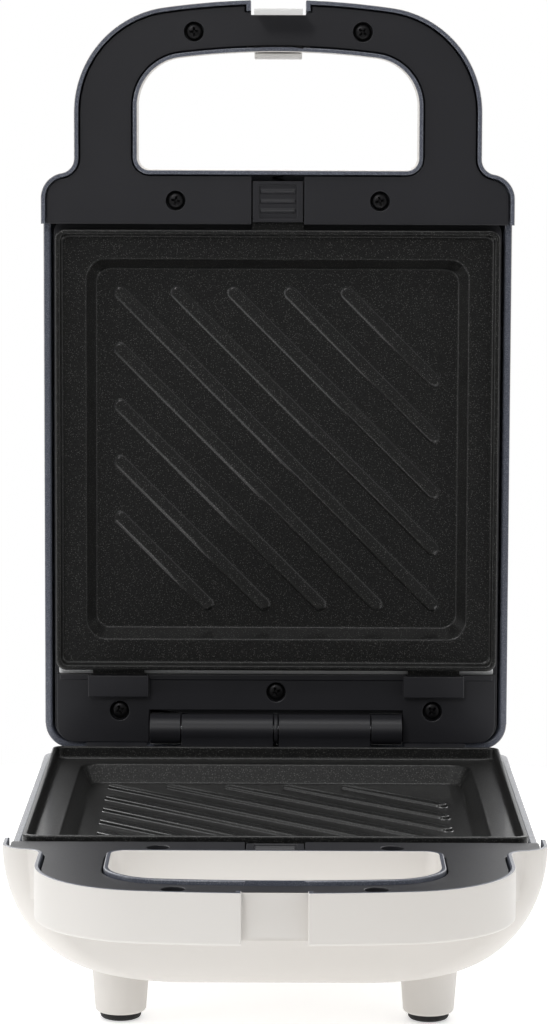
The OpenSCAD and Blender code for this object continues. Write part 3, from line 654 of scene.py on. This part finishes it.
def half_shell(more, channel_finish):
    """One shell; more holds what joins it before it is hollowed."""
    return carve(
        add(bowl(DEPTH, 0), loop_solid(), *more),
        hollow_of_half(),
        prism(grip_plan(0), -HANDLE_DEPTH - 1, ROOM),
        bar(HALF_WIDTH + 1, (FRONT - 1, REAR + 1), (BAND_DROP, ROOM), NAVY),
        bar(HALF_WIDTH + 1, (STEP, REAR + 1), (RIM_DROP, ROOM), NAVY),
        bar(CHANNEL_HALF, (FRONT - 1, PANEL_Y), (-HANDLE_DEPTH - 1, 1), channel_finish),
        *(post(THREAD_R, x, y, level - THREAD_DEPTH, level, NAVY) for x, y, level in SCREWS),
    )


print("screw places:", len(SCREWS))

# %% [markdown]
# ### Rounded edges
# A moulded rim is never sharp, and the thin bright line on its edge tells the eye so. The Bevel
# modifier rounds edges by their weight, and the weight comes from where an edge lies.

# %% Weights for the bevel
FAR_LARGER, BEVEL_STRIPS, SLIVER = 6, 4, 0.055
RIM_ROUND, STEP_ROUND, LOOP_ROUND = 0.35, 0.5, 0.7


def round_edges(piece, width_at, segments=3, sharp=35, mark=-1):
    """Bevels every sharp edge by width_at(middle); mark is the place of the new faces' finish."""
    widest = 0.0
    with reshaping(piece.data) as work:
        layer = work.edges.layers.float.new("bevel_weight_edge")
        for edge in work.edges:
            if len(edge.link_faces) == 2 and edge.calc_face_angle(0) > math.radians(sharp):
                edge[layer] = width_at((edge.verts[0].co + edge.verts[1].co) / 2)
                widest = max(widest, edge[layer])
        for edge in work.edges:
            edge[layer] /= widest or 1
    bevel = piece.modifiers.new("round", "BEVEL")
    bevel.limit_method, bevel.width, bevel.segments = "WEIGHT", widest, segments
    bevel.material = mark
    bevel.use_clamp_overlap, bevel.miter_outer = False, "MITER_SHARP"
    return settle(piece)


def smooth(piece, angle=32, least=8):
    """Smooth shading; it breaks at sharp edges and where a rounded strip meets a far larger face."""
    with reshaping(piece.data) as work:
        for face in work.faces:
            face.smooth = True
        for edge in work.edges:
            if len(edge.link_faces) == 2:
                bend = math.degrees(edge.calc_face_angle(0))
                small, large = sorted(face.calc_area() for face in edge.link_faces)
                edge.smooth = not (bend > angle or (bend > least and large > FAR_LARGER * small))
    return piece


def shell_rounding(middle):
    """How wide an edge of a shell is rounded, by the place of its middle."""
    x, y, z = abs(middle.x), middle.y, middle.z
    if y < PANEL_Y - 0.1 and abs(x - CHANNEL_HALF) < NEAR:
        return RIM_ROUND
    if x < CHANNEL_HALF + NEAR and y < FRONT + BAR - 1:
        return 0
    if z > BAND_DROP - NEAR:
        return RIM_ROUND
    if abs(z - RIM_DROP) < NEAR and y > STEP + 0.1:
        return STEP_ROUND
    return LOOP_ROUND if abs(z + HANDLE_DEPTH) < NEAR and y < SHOULDER else 0


def paint_rims(shell):
    """Each strip of a rounded edge takes the finish it touches, and the middle one that it faces."""
    with reshaping(shell.data) as work:
        bmesh.ops.dissolve_degenerate(work, dist=SLIVER, edges=work.edges)
        left = [face for face in work.faces if face.material_index == MARK]
        for _ in range(BEVEL_STRIPS):
            chosen = {}
            for face in left:
                near = {other.material_index for edge in face.edges for other in edge.link_faces}
                near.discard(MARK)
                if near:
                    facing = NAVY if face.normal.z > 0.8 else CREAM
                    chosen[face] = near.pop() if len(near) == 1 else facing
            for face, finish in chosen.items():
                face.material_index = finish
            left = [face for face in left if face not in chosen]
    return shell


def finish_shell(shell):
    shell.data.materials.append(finishes["cream_plastic"])
    return smooth(paint_rims(round_edges(shell, shell_rounding, mark=MARK)))


print("rim rounding:", shell_rounding(Vector((40, FRONT, BAND_DROP))), "mm")

# %% [markdown]
# ### Base shell
# The base has four feet that taper a little and end in a small rounding, and a boss for the cord's
# gland in its rear wall. Posts inside carry the terminal block.

# %% Base shell
FOOT_END = -54.4
FOOT_PLACES = [(x, y) for x in (-43.5, 43.5) for y in (-120, -17)]
FOOT_EDGE = [(5.9, 0), (6.3, 0.06), (6.75, 0.27), (7.05, 0.6), (7.2, 1.0), (8.8, 22)]
GLAND_X, GLAND_Z, GLAND_SEAT = 36, -24, 24.6
GLAND_BOSS_R, GLAND_BORE_R, GLAND_SEAT_R = 8.2, 5.1, 7.1
TERMINAL_POSTS, TERMINAL_POST_R = [(14, -2), (34, -2)], 3
PAD_STUD_R, PAD_DROP, SLIDE = 4.0, 2.1, 0.1


def foot(x, y):
    return lofted([disc(r, x, y, FOOT_END + rise, FINE_STEPS) for r, rise in FOOT_EDGE])


def repaint(piece, finish):
    piece.data.materials.clear()
    piece.data.materials.append(finish)
    return piece


def seat_on(piece, place, name, body, slot, *replaced, finish=None, painted=False):
    """Carries a drawn piece to its place in the frame and makes it ride on a body.

    A piece that isn't painted yet takes the finish that its slot, or finish, names.
    """
    if not painted:
        repaint(piece, finishes[finish or slot])
    piece.name = piece.data.name = name
    piece.data.transform(place)
    if place.determinant() < 0:
        piece.data.flip_normals()
    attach(piece, body)
    if replaced:
        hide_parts(*replaced)
    print(name, "on", body, "has", len(piece.data.polygons), "faces")


base_shell = half_shell([foot(x, y) for x, y in FOOT_PLACES], CREAM)
add(
    base_shell,
    plug(GLAND_BOSS_R, GLAND_SEAT - 8, GLAND_SEAT, GLAND_X, GLAND_Z),
    *(post(TERMINAL_POST_R, x, y, 0.5 - DEPTH, 6.5 - DEPTH) for x, y in TERMINAL_POSTS),
)
carve(
    base_shell,
    *(post(PAD_STUD_R + SLIDE, x, y, FOOT_END - 2.6, FOOT_END + 2.4) for x, y in FOOT_PLACES),
    plug(GLAND_BORE_R, GLAND_SEAT - 12, GLAND_SEAT + 1, GLAND_X, GLAND_Z),
    plug(GLAND_SEAT_R, GLAND_SEAT, REAR + 1, GLAND_X, GLAND_Z),
    bar(CHANNEL_HALF, (PANEL_Y - 1, PANEL_Y + 2), (-HANDLE_DEPTH - 1, -13.1)),
)
add(base_shell, bar(CHANNEL_HALF + 0.5, (PANEL_Y, PANEL_Y + 0.6), (-11.5, -1.3)))
finish_shell(base_shell)
seat_on(base_shell, base_place, "base_shell", "base", "cream_plastic", "lower_shell", painted=True)

# %% [markdown]
# ### Lid shell
# The lid's shell is the same form without feet. It has the window of the pilot lamp in its back, and
# in its front the channel in which the latch rocks on a pin between two ears.

# %% Lid shell
LENS_Y, LENS_R = -70, 4.5
PIN_HOLE_R = 1.05
ear_low = (EAR_X, PIVOT_Y - 2.6, -11.3)
ear_high = (EAR_X + 2.3, PIVOT_Y + 2.6, PIVOT_Z + 2.6)
lid_shell = add(
    half_shell([], NAVY),
    *block_pair(ear_low, ear_high),
    bar(CHANNEL_WALL, (PANEL_Y, FRONT + BAR), (-HANDLE_DEPTH, CHANNEL_FLOOR + 1.4)),
)
carve(
    lid_shell,
    bar(CHANNEL_HALF, (PANEL_Y - 1, FRONT + BAR + 1), (-HANDLE_DEPTH - 1, CHANNEL_FLOOR)),
    bar(EAR_X, (PIVOT_Y - 3.2, PIVOT_Y + 3.2), (-HANDLE_DEPTH, CHANNEL_FLOOR + 2)),
    rod(PIN_HOLE_R, -EAR_X - 3, EAR_X + 3, PIVOT_Y, PIVOT_Z),
    post(LENS_R + SLIDE, 0, LENS_Y, -DEPTH - 1, -DEPTH + WALL + 1),
)
finish_shell(lid_shell)
seat_on(lid_shell, lid_place, "lid_shell", "lid", "cream_plastic", "upper_shell", painted=True)

# %% [markdown]
# ## Frames, clips and latch
# These pieces already have their true shape in the frame. So a copy of the node is used: its loose
# triangles are merged, flat neighbours are joined to one face, and a bevel of about a quarter of a
# millimetre rounds every edge. The base's frame gives way to the panel of the latch's notch, which
# is part of its shell.

# %% Rounded copies of the frame's nodes
WELD, FLAT = 0.002, math.radians(0.6)


def rounded_copy(node, place, width, sharp=35, segments=2, cuts=()):
    piece = new_object("copy", nodes[node].data.copy())
    piece.data.transform(place.inverted())
    tidy(piece.data, WELD)
    carve(piece, *cuts)
    with reshaping(piece.data) as work:
        bmesh.ops.dissolve_limit(
            work, angle_limit=FLAT, verts=work.verts, edges=work.edges,
            use_dissolve_boundaries=False,
        )
    return smooth(round_edges(piece, lambda middle: width, segments, sharp))


COPIES = [
    ("lower_frame", base_place, "base", "base_frame"),
    ("upper_frame", lid_place, "lid", "lid_frame"),
    ("lower_release_clip", base_place, "lower_clip", "base_release_clip"),
    ("upper_release_clip", lid_place, "upper_clip", "lid_release_clip"),
]
for node, place, body, name in COPIES:
    cuts = []
    if name == "base_frame":
        cuts = [bar(CHANNEL_HALF + 0.8, (FRONT, PANEL_Y + 0.7), (-HANDLE_DEPTH, 0))]
    piece = rounded_copy(node, place, 0.22, cuts=cuts)
    seat_on(piece, place, name, body, "charcoal_plastic", node)
# The latch takes the lighter copy of the cream plastic: painted light for its shaded tab.
piece = rounded_copy("latch", lid_place, 0.3)
seat_on(piece, lid_place, "handle_latch", "latch", "cream_plastic", "latch", finish="latch_plastic")

# %% [markdown]
# ## Reflector pans
# Behind each cooking plate lies a pan pressed from bright sheet, which sends the heater's heat to it.
# A pressed pan has leaning walls and a round bottom edge, so it is lofted from rings that follow a
# quarter circle. Its flange shows as a bright line below the lid's plate, and the heater's two ends
# leave through holes in the bottom.

# %% Reflector pans
SHEET, HEATER_HOLES, HEATER_HOLE_R = 0.8, ((34, -24), (-34, -24)), 4.4
PAN_HALF, PAN_FRONT, PAN_BACK, PAN_R = 62.5, -132.5, -7.5, 8
PAN_LEAN, PAN_FILLET, FILLET_STEPS, RIM_FILLET = 1.2, 4, 6, 0.15
FLANGE_HALF, FLANGE_FRONT, FLANGE_BACK, FLANGE_R = 69.4, -139.4, 2.4, 1.0
PAN_BOTTOM, PAN_FLANGE = ((c[2] - origin[2]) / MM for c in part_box("lower_reflector"))


def pan_side(inset, top, bottom):
    """Rings down a leaning wall and round the bottom edge, both pulled in by inset."""
    steps = [(inset, top)] + [
        (inset + PAN_LEAN + PAN_FILLET * (1 - math.cos(a)), bottom + PAN_FILLET * (1 - math.sin(a)))
        for a in (math.pi / 2 * i / FILLET_STEPS for i in range(FILLET_STEPS + 1))
    ]
    return lofted([
        rounded_ring(PAN_HALF - s, PAN_FRONT + s, PAN_BACK - s, PAN_R - inset, z) for s, z in steps
    ])


def reflector_pan():
    levels = (PAN_FLANGE, PAN_FLANGE - SHEET)
    flange = [rounded_ring(FLANGE_HALF, FLANGE_FRONT, FLANGE_BACK, FLANGE_R, z) for z in levels]
    low, high = PAN_BOTTOM - 1, PAN_BOTTOM + SHEET + 1
    pan = carve(
        add(lofted(flange), pan_side(0, PAN_FLANGE - 0.1, PAN_BOTTOM)),
        pan_side(SHEET, PAN_FLANGE + 1, PAN_BOTTOM + SHEET),
        *(post(HEATER_HOLE_R, x, y, low, high) for x, y in HEATER_HOLES),
    )
    round_edges(pan, lambda middle: RIM_FILLET if middle.z > PAN_FLANGE - 1 else 0, 2)
    return smooth(pan, 40)


for body, place, part in HALVES:
    seat_on(
        reflector_pan(), place, body + "_reflector_pan", body, "bright_sheet", part + "_reflector"
    )

# %% [markdown]
# ## Cooking plates
# A plate is cast aluminium: a thin rim, a shelf inside it, a sloped wall and a flat floor. Its
# section is a line with a radius at every bend, and lofting that line round the square gives the
# soft edges that catch the light. The corner radius follows how far inside the edge a ring lies.

# %% Cooking plates
PLATE_HALF, PLATE_FLOOR = 70.0, -9.8
SECTION = [
    (1.6, -6.1, 0.3), (0.0, -6.1, 0.3), (0.0, -0.15, 0.55), (1.6, -0.15, 0.5), (1.6, -4.1, 0.9),
    (9.5, -4.1, 0.8), (12.5, PLATE_FLOOR, 0.8),
]
UNDER = [(12.5, -11.2, 0), (9.3, -11.2, 0), (9.3, -5.8, 0), (1.6, -5.8, 0)]
CORNERS = [(0.0, 3.0), (1.6, 2.2), (9.5, 6.3), (12.5, 4.5), (20.0, 1.0)]
LUG_X, LUG_HALF, LUG_BOTTOM, LUG_TOP = 50.3, 8.2, -5.2, -3.6


def between(table, x):
    """The table's second value at x, on a straight line between its rows."""
    for (x0, y0), (x1, y1) in zip(table, table[1:]):
        if x <= x1:
            return y0 + (y1 - y0) * (x - x0) / (x1 - x0)
    return table[-1][1]


def filleted(points):
    """The points of a section as plain pairs, with each bend turned into an arc."""
    line = []
    for i, (x, z, r) in enumerate(points):
        here = Vector((x, z))
        if r == 0 or i in (0, len(points) - 1):
            line.append((x, z))
            continue
        back = (Vector(points[i - 1][:2]) - here).normalized()
        on = (Vector(points[i + 1][:2]) - here).normalized()
        half = back.angle(on) / 2
        reach = r / math.tan(half)
        middle = here + (back + on).normalized() * (r / math.sin(half))
        start, end = here + back * reach - middle, here + on * reach - middle
        for k in range(FILLET_STEPS + 1):
            line.append(tuple(middle + start.lerp(end, k / FILLET_STEPS).normalized() * r))
    return line


def plate_ring(inset, z):
    half = PLATE_HALF - inset
    return rounded_ring(half, -2 * PLATE_HALF + inset, -inset, between(CORNERS, inset), z, 12)


section = filleted([*UNDER, *SECTION, (13.6, PLATE_FLOOR, 0)])
print("plate section:", len(section), "points")


def cooking_plate():
    plate = add(
        lofted([plate_ring(inset, z) for inset, z in section]),
        *block_pair((LUG_X - LUG_HALF, -1, LUG_BOTTOM), (LUG_X + LUG_HALF, 5.6, LUG_TOP)),
        bar(LUG_HALF, (-143.2, -139), (LUG_BOTTOM, LUG_TOP)),
    )
    return smooth(plate, 40, 3)


for body, place, part in PLATE_HALVES:
    seat_on(cooking_plate(), place, body + "_plate", body, "nonstick_coating", part + "_plate")

# %% [markdown]
# ## Searing ribs
# Nine ribs cross the floor of each plate on the slant, and each is shorter the further it lies from
# the middle one. That is a rule, so Geometry Nodes follow it: the tree's geometry is one short
# stud, points are set out across the slant, and every stud is pulled apart at its waist by the reach
# that its place allows. The stud's two ends carry the attribute `end`, minus one and plus one.

# %% A stud with a soft profile
RIB_PROFILE = [
    (2.3, -0.2), (2.25, 0.0), (2.1, 0.05), (2.0, 0.18), (1.95, 0.4), (1.9, 0.68),
    (1.83, 0.84), (1.71, 0.95), (1.55, 1.0), (1.0, 1.04), (0.3, 1.05),
]


def rib_stud():
    rings = [
        [(x, y, z) for x, y in arc(0, 0, r, 90, -90, 16) + arc(0, 0, r, -90, -270, 16)]
        for r, z in RIB_PROFILE
    ]
    half = len(rings[0]) // 2
    mesh = bpy.data.meshes.new("rib_stud")
    mesh.from_pydata([p for ring in rings for p in ring], [], ring_faces(2 * half, len(rings)))
    ends = ([1.0] * half + [-1.0] * half) * len(rings)
    mesh.attributes.new("end", "FLOAT", "POINT").data.foreach_set("value", ends)
    return new_object("rib_stud", mesh)


print("rib profile:", len(RIB_PROFILE), "rings")

# %% [markdown]
# One helper makes an empty tree with named inputs, and another runs a tree on an object. A modifier's
# inputs are set by the socket's identifier, and the result becomes a plain mesh.

# %% Helpers for Geometry Nodes
def grow_tree(name, inputs):
    """A tree with Geometry in and out, and more named inputs as {name: (type, value)}."""
    group = bpy.data.node_groups.new(name, "GeometryNodeTree")
    new_socket = group.interface.new_socket
    new_socket("Geometry", in_out="OUTPUT", socket_type="NodeSocketGeometry")
    for label, (kind, value) in {"Geometry": ("Geometry", None), **inputs}.items():
        socket = new_socket(label, in_out="INPUT", socket_type="NodeSocket" + kind)
        if value is not None:
            socket.default_value = value
    tree = Tree(group)
    start = group.nodes.new("NodeGroupInput")
    ports = {port.name: Socket(tree, port) for port in start.outputs if port.name}
    return group, tree, ports


def realized(tree, instances):
    return tree.node("GeometryNodeRealizeInstances", {}, {"Geometry": instances})


def run_tree(piece, group, **values):
    """Runs a tree on a piece, with its inputs written with _ for a space."""
    grown = piece.modifiers.new(group.name, "NODES")
    grown.node_group = group
    for socket in group.interface.items_tree:
        key = socket.name.replace(" ", "_")
        if socket.in_out == "INPUT" and key in values:
            grown[socket.identifier] = values[key]
    return settle(piece)


print("tree helpers are ready")

# %% [markdown]
# In the tree, each point's distance from the middle gives its reach, which travels with the instance.
# After the instances are real, one Set Position pulls the two ends apart along the slant.

# %% Tree of the searing ribs
RIB_PAIRS, RIB_PITCH, RIB_FIELD, RIB_SLANT = 4, 18.0, 49.8, math.radians(-45)


def read_value(tree, name):
    return tree.node("GeometryNodeInputNamedAttribute", {"data_type": "FLOAT"}, {"Name": name})


def rib_tree():
    inputs = {
        "Rib pairs": ("Int", RIB_PAIRS), "Pitch": ("Float", RIB_PITCH), "Field": ("Float", RIB_FIELD),
        "Slant": ("Float", RIB_SLANT),
    }
    group, tree, port = grow_tree("searing_ribs", inputs)
    half_pitch, slant = port["Pitch"] / 2, port["Slant"]
    first = port["Rib pairs"] * half_pitch * -1
    start, hop = tree.vector(X=first, Y=first), tree.vector(X=half_pitch, Y=half_pitch)
    line = tree.node(
        "GeometryNodeMeshLine", {"mode": "OFFSET"},
        {"Count": port["Rib pairs"] * 2 + 1, "Start Location": start, "Offset": hop},
    )
    place = tree.node("GeometryNodeInputPosition")
    reach = (port["Field"] - abs(place.dot((1, 0, 0)))) * math.sqrt(2)
    marked = tree.node(
        "GeometryNodeStoreNamedAttribute", {"data_type": "FLOAT", "domain": "POINT"},
        {"Geometry": line, "Name": "reach", "Value": reach},
    )
    studs = tree.node(
        "GeometryNodeInstanceOnPoints", {},
        {"Points": marked, "Instance": port["Geometry"], "Rotation": tree.vector(Z=slant)},
    )
    pull = read_value(tree, "reach") * read_value(tree, "end")
    cosine, sine = (
        tree.node("ShaderNodeMath", {"operation": name}, {0: slant}) for name in ("COSINE", "SINE")
    )
    offset = tree.vector(X=pull * cosine, Y=pull * sine)
    real = realized(tree, studs)
    pulled = tree.node("GeometryNodeSetPosition", {}, {"Geometry": real, "Offset": offset})
    tree.node("NodeGroupOutput", {}, {0: pulled})
    return group


ribs_group = rib_tree()
for body, place, part in PLATE_HALVES:
    ribs = run_tree(rib_stud(), ribs_group)
    ribs.data.transform(Matrix.Translation((0, -PLATE_HALF, PLATE_FLOOR)))
    tidy(ribs.data)
    name = body + "_searing_ribs"
    seat_on(smooth(ribs, 50, 3), place, name, body, "nonstick_coating", finish="nonstick_ribs")

# %% [markdown]
# ## Frame screws
# Seven black cross-head screws hold each frame. One head is turned from a profile and its cross is
# cut with two tapered wedges. Geometry Nodes set it on the seven places, each turned by chance from
# a fixed seed, as a screwdriver would leave them.

# %% One screw
SCREW_TURN = [
    (0.0, 1.5), (1.3, 1.48), (1.95, 1.36), (2.4, 1.12), (2.64, 0.8), (2.7, 0.5), (2.7, 0.0), (1.4, 0.0),
    (1.4, -6.6), (0.3, -7.5), (0.0, -7.5),
]


def turned(profile, steps=40):
    """A solid of revolution about Z; its profile starts and ends on the axis."""
    return lofted([disc(r, 0, 0, z, steps) for r, z in profile])


def cross_wedge(turn):
    def ring(length, width, z):
        corners = ((-length, -width), (length, -width), (length, width), (-length, width))
        return [(x, y, z) for x, y in corners]
    wedge = lofted([ring(0.5, 0.22, 0.35), ring(1.75, 0.4, 1.7)])
    wedge.data.transform(Matrix.Rotation(math.radians(turn), 4, "Z"))
    return wedge


def frame_screw():
    return carve(turned(SCREW_TURN), *(cross_wedge(turn) for turn in (20, 110)))


print("screw profile:", len(SCREW_TURN), "points")

# %% [markdown]
# The tree that sets them out takes the places as its geometry and the piece as an object input. The
# same tree puts the pads under the feet.

# %% Tree that sets a piece on places
def scatter_tree():
    inputs = {"Piece": ("Object", None), "Turn spread": ("Float", 0.0), "Seed": ("Int", 0)}
    group, tree, port = grow_tree("set_on_places", inputs)
    piece = tree.node("GeometryNodeObjectInfo", {}, {"Object": port["Piece"]}, "Geometry")
    chance = tree.node(
        "FunctionNodeRandomValue", {"data_type": "FLOAT"},
        {"Min_001": 0.0, "Max_001": port["Turn spread"], "Seed": port["Seed"]}, "Value_001",
    )
    placed = tree.node(
        "GeometryNodeInstanceOnPoints", {},
        {"Points": port["Geometry"], "Instance": piece, "Rotation": tree.vector(Z=chance)},
    )
    tree.node("NodeGroupOutput", {}, {0: realized(tree, placed)})
    return group


scatter_group = scatter_tree()


def set_on(places, piece, seed=0, spread=0.0):
    mesh = bpy.data.meshes.new("places")
    mesh.from_pydata(places, [], [])
    group = new_object("places", mesh)
    run_tree(group, scatter_group, Piece=piece, Turn_spread=spread, Seed=seed)
    bpy.data.objects.remove(piece)
    return group


SCREW_SINK, SCREW_SEEDS = -2.55, {"base": 3, "lid": 11}
screw_places = [(x, y, level + SCREW_SINK) for x, y, level in SCREWS]
for body, place, part in HALVES:
    screws = set_on(screw_places, frame_screw(), SCREW_SEEDS[body], math.pi)
    name, node = body + "_frame_screws", part + "_frame_screws"
    seat_on(smooth(screws), place, name, body, "black_screw", node)

# %% [markdown]
# ## Foot pads
# A rubber pad is pushed into the end of each foot. It is turned from a profile with a domed face, so
# that it rests on its middle, and its stud goes up into the foot.

# %% Foot pads
PAD_TURN = [
    (0.0, 0.0), (3.4, 0.0), (4.6, 0.12), (5.3, 0.4), (5.7, 0.85), (5.8, 1.3), (5.8, 2.0),
    (PAD_STUD_R, 2.0), (PAD_STUD_R, 4.4), (0.0, 4.4),
]
pad_places = [(x, y, FOOT_END - PAD_DROP) for x, y in FOOT_PLACES]
pads = set_on(pad_places, turned(PAD_TURN, FINE_STEPS))
seat_on(smooth(pads), base_place, "foot_pads_domed", "base", "black_rubber", "foot_pads")
print("the pads' lowest point is at Z", round(min(v.co.z for v in pads.data.vertices), 5))

# %% [markdown]
# ## Pilot lens and gland
# The red lens sits flush in the lid's back, with rings moulded into its face. The gland is a grooved
# rubber bush in the rear wall, with the bore for the mains lead.

# %% Pilot lens and gland
LENS_TURN = [
    (0.0, 0.0), (1.0, 0.12), (1.5, 0.28), (2.0, 0.12), (2.6, 0.06), (3.1, 0.24), (3.6, 0.08),
    (4.1, 0.06), (4.38, 0.16), (LENS_R, 0.4), (LENS_R, 2.3), (6.0, 2.3), (6.0, 3.3), (0.0, 3.3),
]
lens = turned(LENS_TURN, FINE_STEPS)
lens.data.transform(Matrix.Translation((0, LENS_Y, -DEPTH)))
seat_on(smooth(lens, 50), lid_place, "pilot_lens_ringed", "lid", "lens_red", "pilot_lens")
gland = rounded_copy("cord_gland", base_place, 0.35, 50, 3)
seat_on(gland, base_place, "cord_gland_bush", "base", "black_rubber", "cord_gland")

# %% [markdown]
# ## Finishes on the frame's own nodes
# What keeps its shape from the frame only changes its finish: the table lists the nodes of each slot.

# %% Finishes on the frame's own nodes
NODE_FINISHES = {
    "bright_sheet": ["lower_heater_clamps", "upper_heater_clamps"],
    "heater_sheath": ["lower_heater", "upper_heater"],
    "thermostat_body": ["lower_thermostat", "upper_thermostat"],
    "ceramic_white": ["thermal_fuse", "terminal_block"],
    "wire_sleeve": ["lower_wiring", "upper_wiring"],
    "plated_steel": ["hinge_pin", "latch_pin", "latch_spring"],
    # The clip springs take the black screws' finish: such spring steel is often blackened, and the dark
    # also stands in as painted shade in the narrow gap beside each release clip, where they show.
    "black_screw": ["lower_clip_spring", "upper_clip_spring"],
    "lamp_glass": ["pilot_lamp"],
}
for slot, members in NODE_FINISHES.items():
    for name in members:
        for place in nodes[name].material_slots:
            place.material = finishes[slot]
painted = sum(NODE_FINISHES.values(), [])
left = [name for name in nodes if not nodes[name].hide_render and name not in painted]
print("nodes without a finish:", left)

# %% [markdown]
# ## Floor and light
# The toaster stands on a pale round table that glows a little, so that light also comes up from
# below. A key light stands before it to the upper left, with weaker soft boxes around and above. The
# surround looks white and gives light from all sides, except for a dark patch straight ahead: flat
# dark faces mirror that patch, and only their rounded edges shine.

# %% Floor and light
def pale_floor():
    f = Finish("pale_floor")
    cloud = f.noise(3, 2)
    color = f.mix(cloud, tone(236, 236, 236), tone(240, 240, 240))
    return f.surface(color, 0.7 + 0.1 * cloud, Emission_Color=(1, 1, 1, 1), Emission_Strength=0.48)


FLOOR_R, FLOOR_SIDES = 0.36, 96
turns = (2 * math.pi * i / FLOOR_SIDES for i in range(FLOOR_SIDES))
edge = [(FLOOR_R * math.cos(a), FLOOR_R * math.sin(a), 0) for a in turns]
floor = repaint(solid(edge, [tuple(range(FLOOR_SIDES))]), pale_floor())
floor.name = "floor"


def white_surround(ahead, around, behind):
    """White where it is looked at; as a light it differs ahead of, around and behind the toaster."""
    world = bpy.data.worlds.new("studio")
    world.use_nodes = True
    world.node_tree.nodes.clear()
    tree = Tree(world.node_tree)
    seen = tree.node("ShaderNodeLightPath", out="Is Camera Ray")
    direction = tree.node("ShaderNodeTexCoord", out="Generated")
    back = tree.node("ShaderNodeSeparateXYZ", {}, {"Vector": direction}, "Y")
    given = ahead + (around - ahead) * back.step(-0.97, -0.6) + (behind - around) * back.step(-0.1, 0.8)
    glow = {"Color": (1, 1, 1, 1), "Strength": seen + (1 - seen) * given}
    shader = tree.node("ShaderNodeBackground", {}, glow)
    tree.node("ShaderNodeOutputWorld", {}, {"Surface": shader})
    return world


MIDDLE = Vector((0, 0, 0.12))


def soft_box(name, at, size, radiance):
    """A lamp with the same brightness all over its face, turned to the toaster's middle."""
    data = bpy.data.lights.new(name, "AREA")
    data.shape, data.size, data.size_y = "RECTANGLE", *size
    data.energy = radiance * math.pi * math.prod(size)
    light = new_object(name, data)
    light.location = at
    light.rotation_euler = (MIDDLE - light.location).to_track_quat("-Z", "Y").to_euler()


bpy.context.scene.world = white_surround(0.1, 0.6, 1.0)
bpy.context.scene.view_settings.view_transform = "Standard"
soft_box("key", (-0.5, -1.7, 1.0), (0.4, 0.4), 14.0)
soft_box("above", (0.0, 0.3, 1.6), (0.8, 0.4), 6.0)
soft_box("fore", (0.0, -0.6, 1.5), (0.9, 0.12), 9.0)
soft_box("left", (-1.5, -0.4, 0.5), (0.5, 1.0), 2.7)
soft_box("right", (1.5, -0.7, 0.5), (0.5, 1.0), 1.1)
soft_box("behind", (-0.1, 1.5, 1.1), (1.8, 0.6), 3.3)

# %% [markdown]
# The looks must stay inside the frame's box.
